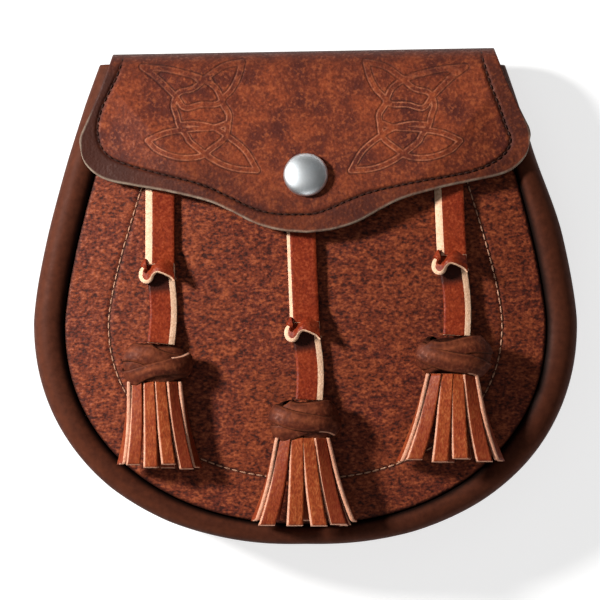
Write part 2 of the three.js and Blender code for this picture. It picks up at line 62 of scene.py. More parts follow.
# The same shapes and walls as in the solids
BOTTOM_Y = node_box("gusset")[0][1]
WIDEST_Y = BOTTOM_Y + 77.0
PANEL_HALF = FRONT_HIGH[0]
PANEL_DROP = WIDEST_Y - FRONT_LOW[1]
HALF_HEIGHT = -BOTTOM_Y
FLAP_TURN = math.radians(1.0)
FLAP_HALF = 79.0
FLAP_TOP_HALF = 67.0
FOLD_Y = HALF_HEIGHT - FLAP_TOP_HALF * math.sin(FLAP_TURN)
MOUTH_Y = FOLD_Y - 8.0
FRONT_TOP_Y = FRONT_HIGH[1]
BACK_TOP_Y = node_box("back_panel")[1][1]
CROWN_Y = FOLD_Y - 91.0
FLAP_LENGTH = 64.5
FLAP_TURN_DROP = 40.0
FOLD_DEPTH = 11.0
FOLD_POWER = 2.4
BEND_Y = FOLD_Y - FOLD_DEPTH
SHOULDER_TAPER = 22.0
TAPER_POWER = 1.4
ROUNDNESS = 2.15
CROWN_POWER = 2.2
FRONT_CROWN = 5.0
BACK_DISH = 10.5
PANEL_WALL = 2.4
GUSSET_SIDE = 11.0
GUSSET_BOTTOM = 7.0
GUSSET_WALL = 2.0
SEAM_GAP = 0.3
SEAM_TURN = math.radians(140.0)
DEPTH_BOTTOM = 36.0
DEPTH_MOUTH = 22.0
MOUTH_LIFT = 4.0
MOUTH_LIFT_RUN = 20.0
FLAP_WALL = 2.6
FLAP_OVER_RIM = 0.7
FLAP_LIFT = 9.4
FLAP_EASE = 0.12
LAP_HALF = 56.0
LAP_LENGTH = 18.0
STRAP_WIDTH = 10.2
STRAP_WALL = 2.5
KNOT_DEPTH = 12.6
KNOT_CLEARANCE = 1.2

# The flap's lower edge from its middle to its widest point, in shares of half its width and its length
FLAP_EDGE = [
    (0.0, 1.0), (0.115, 0.985), (0.225, 0.945), (0.33, 0.878), (0.43, 0.822), (0.6, 0.767),
    (0.76, 0.728), (0.87, 0.698), (0.935, 0.655), (0.982, 0.585), (1.0, 0.487),
]

# One row for each tassel: places in shares of the panel's half width and of half the height,
# widths in shares of the strap's width, then the slant of the strap's cut edge and two seeds
TASSELS = [
    {"side": "left", "strap_x": -0.603, "end_x": -0.6, "strap_top": 0.66, "lip_y": 0.055,
     "knot_x": -0.62, "knot_y": -0.2, "knot_length": 0.156, "knot_wide": 2.45,
     "skirt_x": -0.602, "skirt_y": -0.69, "skirt_top": 2.02, "skirt_end": 2.95,
     "slant": 2.4, "phase": 0.4, "seed": 21},
    {"side": "middle", "strap_x": -0.021, "end_x": 0.01, "strap_top": 0.33, "lip_y": -0.178,
     "knot_x": -0.012, "knot_y": -0.424, "knot_length": 0.154, "knot_wide": 2.5,
     "skirt_x": -0.004, "skirt_y": -0.914, "skirt_top": 2.02, "skirt_end": 3.84,
     "slant": 1.1, "phase": 1.7, "seed": 22},
    {"side": "right", "strap_x": 0.585, "end_x": 0.618, "strap_top": 0.66, "lip_y": 0.09,
     "knot_x": 0.602, "knot_y": -0.168, "knot_length": 0.156, "knot_wide": 2.69,
     "skirt_x": 0.595, "skirt_y": -0.664, "skirt_top": 1.92, "skirt_end": 3.77,
     "slant": 2.4, "phase": 2.9, "seed": 23},
]


# Surfaces of the pouch: heights in millimetres over places in millimetres

def smooth_share(value, low, high):
    """How far a value is from low to high, from 0 to 1 and eased at both ends."""
    share = np.clip((value - low) / (high - low), 0, 1)
    return share * share * (3 - 2 * share)


def panel_half_at(y):
    """Half the width of the panels at a height."""
    up = np.clip((y - WIDEST_Y) / (MOUTH_Y - WIDEST_Y), 0, 2)
    down = np.clip((WIDEST_Y - y) / PANEL_DROP, 0, 1)
    upper = PANEL_HALF - SHOULDER_TAPER * up ** TAPER_POWER
    lower = PANEL_HALF * (1 - down ** ROUNDNESS) ** (1 / ROUNDNESS)
    return np.where(y >= WIDEST_Y, upper, lower)


def edge_share(x, y, top_y):
    """How far out a place is from the panel's crown, where 1 is the panel's edge."""
    low = np.full(np.shape(x), 0.001)
    high = np.full(np.shape(x), 4.0)
    halvings = 22
    for _ in range(halvings):
        share = (low + high) / 2
        edge_x = x / share
        edge_y = CROWN_Y + (y - CROWN_Y) / share
        inside = ((edge_y < top_y) & (edge_y > WIDEST_Y - PANEL_DROP)
                  & (np.abs(edge_x) < panel_half_at(edge_y)))
        high = np.where(inside, share, high)
        low = np.where(inside, low, share)
    return high


def roll_radius(sideways):
    """The radius of the gusset's roll, larger where the edge faces sideways."""
    bulge = GUSSET_BOTTOM + (GUSSET_SIDE - GUSSET_BOTTOM) * np.abs(sideways)
    return (bulge - SEAM_GAP) / (1 - math.cos(SEAM_TURN))


def seam_dip(x, y):
    """How far a seam lies under the crest of the gusset's roll."""
    sideways = x / np.maximum(np.hypot(x, y - CROWN_Y), 0.001)
    return roll_radius(sideways) * (1 - math.sin(SEAM_TURN))


def front_crest_at(y):
    """Height of the front roll's crest, from the mouth down to the deep bottom."""
    share = (MOUTH_Y - y) / (MOUTH_Y - BOTTOM_Y)
    return DEPTH_MOUTH + (DEPTH_BOTTOM - DEPTH_MOUTH) * share


def back_crest_at(y):
    """Height of the back roll's crest, which lifts off the ground near the mouth."""
    return MOUTH_LIFT * smooth_share(y, MOUTH_Y - MOUTH_LIFT_RUN, MOUTH_Y)


def front_at(x, y):
    """Height of the front panel's outer face."""
    share = edge_share(x, y, FRONT_TOP_Y)
    crown = FRONT_CROWN * (1 - share ** CROWN_POWER)
    return front_crest_at(y) - seam_dip(x, y) * share ** 2 + crown


def back_at(x, y):
    """Height of the back panel's outer face."""
    share = edge_share(x, y, BACK_TOP_Y)
    dish = BACK_DISH * (1 - np.minimum(share, 1) ** CROWN_POWER)
    return back_crest_at(y) + seam_dip(x, y) * share ** 2 + dish


def flap_under_at(x, y):
    """Height of the flap's lower face over the front panel."""
    fall = 1 - edge_share(x, y, FRONT_TOP_Y) ** CROWN_POWER
    lift = (fall + np.hypot(fall, FLAP_EASE)) / 2
    return front_crest_at(y) + FLAP_OVER_RIM + FLAP_LIFT * lift


def flap_over_at(x, y):
    """Height of the flap's outer face over the front panel."""
    return flap_under_at(x, y) + FLAP_WALL


def flap_top_at(x, y):
    """Height of the flap's outer face, round its fold too."""
    level = y - x * math.sin(FLAP_TURN)
    high = flap_over_at(x, np.minimum(y, BEND_Y))
    low = lap_at(x, np.full_like(x, BEND_Y))
    share = np.clip((level - BEND_Y) / FOLD_DEPTH, 0, 0.98)
    return (low + high) / 2 + (high - low) / 2 * (1 - share ** FOLD_POWER) ** (1 / FOLD_POWER)


def seat_at(x, y):
    """Height of what a tassel lies on: the front panel, or the roll's crest past its edge."""
    over = smooth_share(edge_share(x, y, FRONT_TOP_Y), 0.8, 1.0)
    return np.maximum(front_at(x, y), front_crest_at(y) * over)


def turned(x, y):
    """A place on the flap after the flap's small turn."""
    middle = FOLD_Y - FLAP_TURN_DROP
    c, s = math.cos(FLAP_TURN), math.sin(FLAP_TURN)
    return x * c - (y - middle) * s, middle + x * s + (y - middle) * c


def height_of(surface, x, y):
    """The height of a surface at one place."""
    return float(surface(np.array([x]), np.array([y]))[0])


def ripple(x, y, size, seed):
    """A quiet unevenness between -1 and 1, as a sum of waves of about this size."""
    spread = random.Random(seed)
    waves = 6
    total = np.zeros(np.shape(x))
    for _ in range(waves):
        angle = spread.uniform(0, 2 * math.pi)
        wave = 2 * math.pi / (size * spread.uniform(0.7, 1.5))
        total = total + np.sin((x * math.cos(angle) + y * math.sin(angle)) * wave
                               + spread.uniform(0, 2 * math.pi))
    return total / waves


# Building meshes

FAR = 1e9
REACH = 4.0
SAME_PLACE = 0.0005


def new_object(bm, name, materials):
    """A smooth-shaded piece from a finished mesh."""
    mesh = bpy.data.meshes.new(name)
    bm.to_mesh(mesh)
    bm.free()
    for material in materials:
        mesh.materials.append(material)
    mesh.polygons.foreach_set("use_smooth", [True] * len(mesh.polygons))
    piece = bpy.data.objects.new(name, mesh)
    bpy.context.scene.collection.objects.link(piece)
    return piece


def mapped_grid(columns, rows, place, masks=(), weld=0.0):
    """A grid whose points go where place(u, v) says; it returns x, y, z and one value for each mask."""
    bm = bmesh.new()
    layers = [bm.verts.layers.float.new(name) for name in masks]
    bmesh.ops.create_grid(bm, x_segments=columns, y_segments=rows, size=0.5)
    verts = list(bm.verts)
    flat = np.array([vert.co[:2] for vert in verts])
    x, y, z, *values = place(flat[:, 0] + 0.5, flat[:, 1] + 0.5)
    for vert, a, b, c in zip(verts, x * MM, y * MM, z * MM):
        vert.co = (a, b, c)
    for layer, value in zip(layers, values):
        for vert, amount in zip(verts, value):
            vert[layer] = float(amount)
    if weld:
        bmesh.ops.remove_doubles(bm, verts=bm.verts, dist=weld * MM)
    bm.normal_update()
    return bm


def face_sheet(bm, direction=1):
    """Turns an open sheet so that its faces look up, or down with a direction of -1."""
    upward = sum(face.normal.z * face.calc_area() for face in bm.faces)
    if upward * direction < 0:
        bmesh.ops.reverse_faces(bm, faces=bm.faces)


def thicken(piece, wall, rim_slot=0, back_slot=0):
    """Gives a sheet its wall, inwards from its outer face."""
    solid = piece.modifiers.new("wall", "SOLIDIFY")
    solid.thickness = wall * MM
    solid.offset = -1
    solid.material_offset_rim = rim_slot
    solid.material_offset = back_slot


def smooth_line(points, steps):
    """Points along a smooth curve through a few chosen ones."""
    pts = [np.array(p, float) for p in points]
    pts = [2 * pts[0] - pts[1]] + pts + [2 * pts[-1] - pts[-2]]
    line = []
    for a, b, c, d in zip(pts, pts[1:], pts[2:], pts[3:]):
        for i in range(steps):
            t = i / steps
            line.append(0.5 * (2 * b + (c - a) * t + (2 * a - 5 * b + 4 * c - d) * t ** 2
                               + (3 * b - a - 3 * c + d) * t ** 3))
    line.append(pts[-2])
    return np.array(line)


def even_line(line, spacing):
    """The same line with points about this far apart."""
    steps = np.hypot(*np.diff(line, axis=0).T)
    length = np.concatenate([[0], np.cumsum(steps)])
    wanted = np.linspace(0, length[-1], max(int(round(length[-1] / spacing)), 1) + 1)
    return np.column_stack([np.interp(wanted, length, line[:, k]) for k in range(2)])


def distance_to_line(x, y, line):
    """How far each place is from a line of points, measured only close to the line."""
    best = np.full(np.shape(x), FAR)
    for a, b in zip(line, line[1:]):
        run = b - a
        size = max(float(run @ run), 1e-9)
        near = ((np.minimum(a[0], b[0]) - REACH < x) & (x < np.maximum(a[0], b[0]) + REACH)
                & (np.minimum(a[1], b[1]) - REACH < y) & (y < np.maximum(a[1], b[1]) + REACH))
        if not near.any():
            continue
        share = np.clip(((x[near] - a[0]) * run[0] + (y[near] - a[1]) * run[1]) / size, 0, 1)
        gap = np.hypot(x[near] - a[0] - share * run[0], y[near] - a[1] - share * run[1])
        best[near] = np.minimum(best[near], gap)
    return best


def inside_line(x, y, line):
    """Which places lie inside a closed line of points."""
    inside = np.zeros(np.shape(x), bool)
    for a, b in zip(line, np.roll(line, -1, axis=0)):
        if a[1] != b[1]:
            crossing = a[0] + (b[0] - a[0]) * (y - a[1]) / (b[1] - a[1])
            inside ^= ((a[1] > y) != (b[1] > y)) & (x < crossing)
    return inside


def join_meshes(bm, other):
    """Adds a finished small mesh to a larger one, with its faces turned outwards."""
    bmesh.ops.recalc_face_normals(other, faces=other.faces)
    mesh = bpy.data.meshes.new("loose")
    other.to_mesh(mesh)
    other.free()
    bm.from_mesh(mesh)
    bpy.data.meshes.remove(mesh)


def set_down(piece, body_slot, *nodes):
    """Ties a piece to the body and hides the CAD nodes that it replaces; its slot is not used."""
    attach(piece, "root")
    if nodes:
        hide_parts(*nodes)


# Outlines

def seam_line(top_y, inset=0.0, drop_inset=0.0):
    """The panels' seam, or a line inside it, from its top right end round to its top left end."""
    lower_points = 230
    side_y = np.linspace(top_y, WIDEST_Y, int(top_y - WIDEST_Y))[:-1]
    side = np.column_stack([panel_half_at(side_y) - inset, side_y])
    angle = np.linspace(0, math.pi, lower_points)
    across = np.sign(np.cos(angle)) * np.abs(np.cos(angle)) ** (2 / ROUNDNESS)
    down = np.sin(angle) ** (2 / ROUNDNESS)
    lower = np.column_stack([(PANEL_HALF - inset) * across, WIDEST_Y - (PANEL_DROP - drop_inset) * down])
    other = side[::-1] * np.array([-1, 1])
    return np.vstack([side, lower, other])


def flap_edge_line():
    """The flap's lower edge from left to right, as places across and down."""
    half = smooth_line(FLAP_EDGE, 24)
    line = np.vstack([half[:0:-1] * np.array([-1, 1]), half])
    return even_line(line * np.array([FLAP_HALF, FLAP_LENGTH]), 0.4)


def flap_half_at(y):
    """Half the flap's width: its sides run nearly straight, and bend smoothly into the corners."""
    share = np.clip((FOLD_Y - y) / (FLAP_EDGE[-1][1] * FLAP_LENGTH), 0, 1)
    power, bend = 1.2, 0.12
    over = np.clip(share - (1 - bend), 0, bend)
    slope = power * (1 - bend) ** (power - 1)
    grown = np.minimum(share, 1 - bend) ** power + slope * over * (1 - over / (2 * bend))
    end = (1 - bend) ** power + slope * bend / 2
    return FLAP_TOP_HALF + (FLAP_HALF - FLAP_TOP_HALF) * grown / end


# Shader helpers

def linear(red, green, blue):
    """A colour as the eye reads it, 0 to 255, turned into the renderer's own scale."""
    def one(value):
        value /= 255
        return value / 12.92 if value <= 0.04045 else ((value + 0.055) / 1.055) ** 2.4
    return (one(red), one(green), one(blue), 1.0)


def put(tree, kind, inputs=None, **settings):
    """Adds a node, with each input set to a value or linked to a socket."""
    node = tree.nodes.new(kind)
    for key, value in settings.items():
        setattr(node, key, value)
    for key, value in (inputs or {}).items():
        if isinstance(value, bpy.types.NodeSocket):
            tree.links.new(value, node.inputs[key])
        else:
            node.inputs[key].default_value = value
    return node


def mixed(tree, factor, first, second):
    """A mix of two colours by a factor."""
    node = put(tree, "ShaderNodeMix", data_type="RGBA", clamp_factor=True)
    for index, value in ((0, factor), (6, first), (7, second)):
        if isinstance(value, bpy.types.NodeSocket):
            tree.links.new(value, node.inputs[index])
        else:
            node.inputs[index].default_value = value
    return node.outputs[2]


def ranged(tree, value, low, high, to_low=0.0, to_high=1.0):
    """A value mapped from one range to another, and clamped."""
    inputs = {"Value": value, "From Min": low, "From Max": high, "To Min": to_low, "To Max": to_high}
    return put(tree, "ShaderNodeMapRange", inputs).outputs["Result"]


def computed(tree, operation, first, second=0.0):
    """The result of a calculation with two numbers."""
    return put(tree, "ShaderNodeMath", {0: first, 1: second}, operation=operation).outputs[0]


def masked(tree, name):
    """A mask that the piece carries on its points."""
    return put(tree, "ShaderNodeAttribute", attribute_name=name).outputs["Fac"]


def noise(tree, vector, scale, detail, roughness=0.5):
    """Noise about a place, as one number."""
    inputs = {"Vector": vector, "Scale": scale, "Detail": detail, "Roughness": roughness}
    return put(tree, "ShaderNodeTexNoise", inputs).outputs[0]


def object_place(tree):
    """The place on the object, in its own coordinates."""
    return put(tree, "ShaderNodeTexCoord").outputs["Object"]


def group(name, numbers, outputs):
    """An empty shader group with named number inputs and outputs."""
    tree = bpy.data.node_groups.new(name, "ShaderNodeTree")
    for label, value in numbers.items():
        socket = tree.interface.new_socket(label, in_out="INPUT", socket_type="NodeSocketFloat")
        socket.default_value = value
    for label in outputs:
        tree.interface.new_socket(label, in_out="OUTPUT", socket_type="NodeSocketFloat")
    return tree, tree.nodes.new("NodeGroupInput"), tree.nodes.new("NodeGroupOutput")


def make_hide_group():
    """Flecks, soft clouds and a pebbled height, the pattern of dyed grain leather."""
    tree, given, out = group("hide_pattern", {"Fleck Scale": 900.0, "Cloud Scale": 60.0, "Stretch": 1.0},
                             ["Dark Fleck", "Light Fleck", "Cloud", "Height"])
    scale = given.outputs["Fleck Scale"]
    stretch = put(tree, "ShaderNodeCombineXYZ", {"X": given.outputs["Stretch"], "Y": 1.0, "Z": 1.0})
    vector = put(tree, "ShaderNodeVectorMath", {0: object_place(tree), 1: stretch.outputs[0]},
                 operation="MULTIPLY").outputs[0]
    fleck = noise(tree, vector, scale, 2.0, 0.55)
    patch = noise(tree, vector, computed(tree, "MULTIPLY", scale, 0.37), 3.0)
    cloud = noise(tree, vector, given.outputs["Cloud Scale"], 4.0, 0.6)
    fine = computed(tree, "MULTIPLY", scale, 1.1)
    pebble = put(tree, "ShaderNodeTexVoronoi", {"Vector": vector, "Scale": fine}, feature="F1")
    both = computed(tree, "ADD", computed(tree, "MULTIPLY", fleck, 0.65),
                    computed(tree, "MULTIPLY", patch, 0.35))
    tree.links.new(ranged(tree, both, 0.49, 0.38), out.inputs["Dark Fleck"])
    tree.links.new(ranged(tree, both, 0.51, 0.64), out.inputs["Light Fleck"])
    tree.links.new(ranged(tree, cloud, 0.35, 0.65), out.inputs["Cloud"])
    pebbled = computed(tree, "MULTIPLY", pebble.outputs["Distance"], -0.5)
    tree.links.new(computed(tree, "ADD", pebbled, both), out.inputs["Height"])
    return tree


def make_wear_and_highlight_group():
    """Rubbed edges and painted highlights: a mask from the piece, broken up unevenly."""
    tree, given, out = group("edge_wear_and_highlight", {"Mask": 0.0, "Break Up": 300.0}, ["Worn"])
    uneven = noise(tree, object_place(tree), given.outputs["Break Up"], 3.0)
    broken = ranged(tree, uneven, 0.3, 0.7, 0.35, 1.0)
    tree.links.new(computed(tree, "MULTIPLY", given.outputs["Mask"], broken), out.inputs["Worn"])
    return tree


def make_tooled_group():
    """The two tooled lines of each band, from the distance to the band's middle."""
    tree, given, out = group("tooled_band", {"Distance": 9.0, "Depth": 1.0, "Half Band": 0.8},
                             ["Line", "Pressed"])
    distance = given.outputs["Distance"]
    gap = computed(tree, "SUBTRACT", distance, given.outputs["Half Band"])
    line = ranged(tree, computed(tree, "ABSOLUTE", gap), 0.30, 0.12)
    broken = ranged(tree, noise(tree, object_place(tree), 420.0, 2.0), 0.36, 0.64, 0.1, 1.0)
    line = computed(tree, "MULTIPLY", computed(tree, "MULTIPLY", line, broken), given.outputs["Depth"])
    outside = computed(tree, "SUBTRACT", distance, 1.25)
    pressed = ranged(tree, computed(tree, "ABSOLUTE", outside), 0.42, 0.1, 0.0, 0.5)
    tree.links.new(line, out.inputs["Line"])
    tree.links.new(pressed, out.inputs["Pressed"])
    return tree


hide_pattern = make_hide_group()
edge_wear_and_highlight = make_wear_and_highlight_group()
tooled_lines = make_tooled_group()


def leather(name, base, dark, light, cloud, fleck_scale=900.0, cloud_scale=60.0, stretch=1.0,
            dark_amount=0.8, light_amount=0.6, cloud_amount=0.5, roughness=(0.45, 0.65), grain=0.25,
            groove_and_shade=None, wear_and_highlight=None, border=None, tooled=None, shine=0.15):
    """Dyed leather: flecks and clouds in its colour, pebbled grain, darker grooves and painted shade,
    rubbed edges and painted highlights.
    """
    material = bpy.data.materials.new(name)
    material.use_nodes = True
    tree = material.node_tree
    shader = tree.nodes["Principled BSDF"]
    hide = put(tree, "ShaderNodeGroup", node_tree=hide_pattern)
    hide.inputs["Fleck Scale"].default_value = fleck_scale
    hide.inputs["Cloud Scale"].default_value = cloud_scale
    hide.inputs["Stretch"].default_value = stretch
    colour = linear(*base)
    for label, amount, tint in (("Cloud", cloud_amount, cloud), ("Dark Fleck", dark_amount, dark),
                                ("Light Fleck", light_amount, light)):
        strength = computed(tree, "MULTIPLY", hide.outputs[label], amount)
        colour = mixed(tree, strength, colour, linear(*tint))
    if border:
        colour = mixed(tree, masked(tree, "border"), colour, linear(*border))
    # darker grooves, and painted shade in seam creases, hollows and between parts, from a mask on the
    # piece
    if groove_and_shade:
        colour = mixed(tree, masked(tree, "groove_and_shade"), colour, linear(*groove_and_shade))
    # rubbed edges, and painted highlights on the gusset's roll and on the knots, from a mask on the piece
    if wear_and_highlight:
        wear_and_highlight_node = put(tree, "ShaderNodeGroup", node_tree=edge_wear_and_highlight)
        tree.links.new(masked(tree, "wear_and_highlight"), wear_and_highlight_node.inputs["Mask"])
        colour = mixed(tree, wear_and_highlight_node.outputs["Worn"], colour, linear(*wear_and_highlight))
    height = hide.outputs["Height"]
    if tooled:
        lines = put(tree, "ShaderNodeGroup", node_tree=tooled_lines)
        tree.links.new(masked(tree, "tooled_distance"), lines.inputs["Distance"])
        tree.links.new(masked(tree, "tooled_depth"), lines.inputs["Depth"])
        colour = mixed(tree, lines.outputs["Pressed"], colour, linear(*groove_and_shade))
        colour = mixed(tree, lines.outputs["Line"], colour, linear(*tooled))
        sunk = computed(tree, "MULTIPLY", lines.outputs["Pressed"], 1.4)
        height = computed(tree, "SUBTRACT", height, sunk)
    tree.links.new(colour, shader.inputs["Base Color"])
    rough = ranged(tree, hide.outputs["Light Fleck"], 0.0, 1.0, roughness[1], roughness[0])
    tree.links.new(rough, shader.inputs["Roughness"])
    bump = put(tree, "ShaderNodeBump", {"Height": height, "Strength": grain, "Distance": 0.0006})
    tree.links.new(bump.outputs[0], shader.inputs["Normal"])
    shader.inputs["Specular IOR Level"].default_value = shine
    return material


def make_materials():
    """Every leather: its colour, then its dark flecks, light flecks and clouds."""
    return {
        # the panel's near-black colour darkens the stitch groove, and the panel's edge as painted shade
        # at the seam
        "panel": leather("panel_leather", (114, 49, 26), (50, 20, 15), (164, 84, 50), (90, 35, 25),
                         fleck_scale=1080.0, stretch=0.66, groove_and_shade=(34, 14, 10), grain=0.45,
                         dark_amount=0.95, light_amount=0.75, cloud_amount=0.8),
        "flap": leather("flap_leather", (132, 59, 32), (74, 31, 21), (176, 94, 56), (80, 33, 25),
                        fleck_scale=860.0, cloud_scale=95.0, groove_and_shade=(40, 18, 12),
                        wear_and_highlight=(176, 158, 138), border=(58, 28, 20), tooled=(186, 114, 82),
                        dark_amount=0.6, light_amount=0.45, grain=0.3, cloud_amount=1.0),
        # the gusset's near-black colour is painted shade at its seams, and its lighter one a painted
        # highlight along the roll's shoulder
        "gusset": leather("gusset_leather", (72, 37, 25), (48, 21, 13), (94, 48, 31), (64, 29, 17),
                          fleck_scale=500.0, cloud_scale=45.0, dark_amount=0.35, light_amount=0.3,
                          roughness=(0.46, 0.54), grain=0.12, groove_and_shade=(16, 8, 6), wear_and_highlight=(104, 56, 38),
                          shine=0.04),
        # the back's darker colour darkens its sewn lines, and the panel's edge as painted shade at the
        # seam
        "back": leather("back_leather", (92, 48, 30), (60, 29, 19), (120, 70, 48), (78, 40, 26),
                        fleck_scale=600.0, groove_and_shade=(40, 20, 14), grain=0.3, dark_amount=0.5,
                        light_amount=0.4, roughness=(0.6, 0.7)),
        # the strap's darker colour is painted shade in the hollow under the curl
        "strap": leather("strap_leather", (119, 38, 17), (78, 22, 11), (176, 84, 50), (144, 56, 26),
                         fleck_scale=1100.0, cloud_scale=110.0, dark_amount=0.5, light_amount=0.45,
                         roughness=(0.36, 0.48), grain=0.25, groove_and_shade=(60, 22, 13), shine=0.12),
        # the knot's near-black colour is painted shade at the wraps' edges and on the core, and its
        # lighter one painted highlights on the wraps' upper sides
        "knot": leather("knot_leather", (90, 40, 25), (46, 19, 13), (136, 74, 48), (62, 26, 17),
                        fleck_scale=700.0, cloud_scale=160.0, dark_amount=0.5, light_amount=0.45,
                        roughness=(0.4, 0.55), grain=0.35, groove_and_shade=(16, 6, 4), wear_and_highlight=(164, 88, 56),
                        shine=0.08),
        # the tassel's darker colour is painted shade on the side and lower strips and on the core, with
        # some random tone
        "tassel": leather("tassel_leather", (156, 72, 34), (100, 38, 20), (194, 116, 68), (142, 54, 26),
                          fleck_scale=800.0, cloud_scale=140.0, stretch=2.0, dark_amount=0.55,
                          light_amount=0.5, cloud_amount=0.8, roughness=(0.38, 0.5), grain=0.25,
                          groove_and_shade=(96, 28, 14), shine=0.14),
        "cut": leather("cut_edge", (236, 192, 158), (196, 146, 114), (246, 216, 190), (218, 166, 134),
                       fleck_scale=1500.0, dark_amount=0.5, light_amount=0.4, roughness=(0.7, 0.8),
                       grain=0.3),
        "soft_cut": leather("rubbed_cut_edge", (208, 150, 122), (160, 104, 80), (230, 186, 160),
                            (188, 126, 98), fleck_scale=1500.0, dark_amount=0.5, light_amount=0.4,
                            roughness=(0.7, 0.8), grain=0.3),
        "flap_cut": leather("flap_cut_edge", (58, 42, 34), (30, 20, 17), (120, 104, 90), (48, 34, 28),
                            fleck_scale=900.0, dark_amount=0.6, roughness=(0.5, 0.65), grain=0.25),
        "thread_dark": leather("dark_thread", (46, 22, 16), (26, 12, 9), (74, 42, 30), (40, 20, 14),
                               fleck_scale=2500.0, roughness=(0.5, 0.6), grain=0.4),
        "thread_pale": leather("pale_thread", (190, 142, 114), (124, 80, 60), (204, 160, 134),
                               (148, 100, 76), fleck_scale=2500.0, roughness=(0.5, 0.6), grain=0.4),
    }


def make_nickel():
    """Satin nickel with fine brushing and a few tarnished clouds."""
    material = bpy.data.materials.new("satin_nickel_finish")
    material.use_nodes = True
    tree = material.node_tree
    shader = tree.nodes["Principled BSDF"]
    shader.inputs["Metallic"].default_value = 1.0
    place = object_place(tree)
    cloud = noise(tree, place, 220.0, 4.0)
    scratch = noise(tree, place, 2600.0, 2.0)
    tint = ranged(tree, cloud, 0.35, 0.7)
    tree.links.new(mixed(tree, tint, linear(232, 236, 238), linear(196, 202, 206)),
                   shader.inputs["Base Color"])
    tree.links.new(ranged(tree, cloud, 0.3, 0.7, 0.4, 0.52), shader.inputs["Roughness"])
    bump = put(tree, "ShaderNodeBump", {"Height": scratch, "Strength": 0.06, "Distance": 0.0002})
    tree.links.new(bump.outputs[0], shader.inputs["Normal"])
    return material


finish = make_materials()
finish["nickel"] = make_nickel()


# Stitches

# Each kind's length, its distance from one stitch to the next, and its thickness
PANEL_STITCH = (2.6, 2.9, 0.6)
EDGE_STITCH = (1.9, 2.5, 0.65)
SEAM_STITCH = (2.6, 3.6, 0.8)
LOOP_STITCH = (2.4, 3.4, 0.8)


def stitch_row(name, line, height_at, kind, material, slot):
    """Short rounded threads set along a line, each lying along the surface."""
    length, pitch, thick = kind
    points = even_line(line, pitch)
    bm = bmesh.new()
    for a, b in zip(points, points[1:]):
        middle = (a + b) / 2
        run = (b - a) / np.hypot(*(b - a))
        ends = [middle - run * length / 2, middle + run * length / 2]
        start, end = (Vector((x, y, height_of(height_at, x, y))) for x, y in ends)
        along = (end - start).normalized()
        side = along.cross(Vector((0, 0, 1))).normalized()
        up = side.cross(along)
        turn = Matrix((along, side, up)).transposed().to_4x4()
        size = Matrix.Diagonal((length / 2, thick / 2, thick / 2, 1))
        place = Matrix.Translation((start + end) / 2) @ turn @ size
        made = bmesh.ops.create_uvsphere(bm, u_segments=8, v_segments=6, radius=1)
        bmesh.ops.transform(bm, matrix=Matrix.Scale(MM, 4) @ place, verts=made["verts"])
    set_down(new_object(bm, name, [material]), slot)


# Front panel

PANEL_STITCH_INSET = 15.6
PANEL_STITCH_DROP_INSET = 16.0
PANEL_STITCH_TOP = 44.0
PANEL_STITCH_SHOWN = 42.0
PANEL_STITCH_PULL = 2.2


def panel_stitch_line():
    """The decorative line, drawn in a little at its upper ends."""
    line = seam_line(PANEL_STITCH_TOP, PANEL_STITCH_INSET, PANEL_STITCH_DROP_INSET)
    pull = smooth_share(line[:, 1], WIDEST_Y, PANEL_STITCH_TOP) * PANEL_STITCH_PULL
    line[:, 0] -= np.sign(line[:, 0]) * pull
    return even_line(line, 1.0)


def disc_place(top_y, height_at, edge_round):
    """Places over a panel: v runs from its middle to its edge, u once round it."""
    edge = seam_line(top_y)
    top_x = np.linspace(edge[-1, 0], edge[0, 0], 90)[1:]
    top = np.column_stack([top_x, np.full_like(top_x, top_y)])
    loop = even_line(np.vstack([edge, top]), 0.5)
    rounds = np.linspace(0, 1, len(loop))

    def place(u, v):
        share = 1 - (1 - v) ** 1.25
        edge_x = np.interp(u, rounds, loop[:, 0])
        edge_y = np.interp(u, rounds, loop[:, 1])
        x = edge_x * share
        y = CROWN_Y + (edge_y - CROWN_Y) * share
        z = height_at(x, y)
        inward = (1 - share) * np.hypot(edge_x, edge_y - CROWN_Y)
        near = np.clip(1 - inward / 1.2, 0, 1)
        return x, y, z - edge_round * near ** 2, near

    return place


def make_front_panel():
    """The crowned front, with its decorative line pressed in and stitched."""
    place_plain = disc_place(FRONT_TOP_Y, front_at, 0.6)
    line = panel_stitch_line()

    def place(u, v):
        x, y, z, near = place_plain(u, v)
        gap = distance_to_line(x, y, line)
        groove_and_shade = np.exp(-(gap / 0.6) ** 2)
        shown = y < PANEL_STITCH_SHOWN
        z = z - 0.45 * groove_and_shade * shown + 0.18 * ripple(x, y, 38, 3)
        # the stitch line's groove is darker, and so is the panel's last 1.2 mm: painted shade in the
        # crease at the seam
        return x, y, z, np.maximum(groove_and_shade * 0.8 * shown, near)

    bm = mapped_grid(430, 100, place, ("groove_and_shade",), weld=0.01)
    face_sheet(bm)
    piece = new_object(bm, "front_panel_leather", [finish["panel"]])
    thicken(piece, PANEL_WALL)
    set_down(piece, "panel_leather", "front_panel")
    stitch_row("front_panel_stitches", line[line[:, 1] < PANEL_STITCH_SHOWN],
               lambda x, y: front_at(x, y) - 0.15, PANEL_STITCH, finish["thread_pale"], "panel_leather")


# Back panel and belt loop

BACK_STITCH_INSET = 4.0


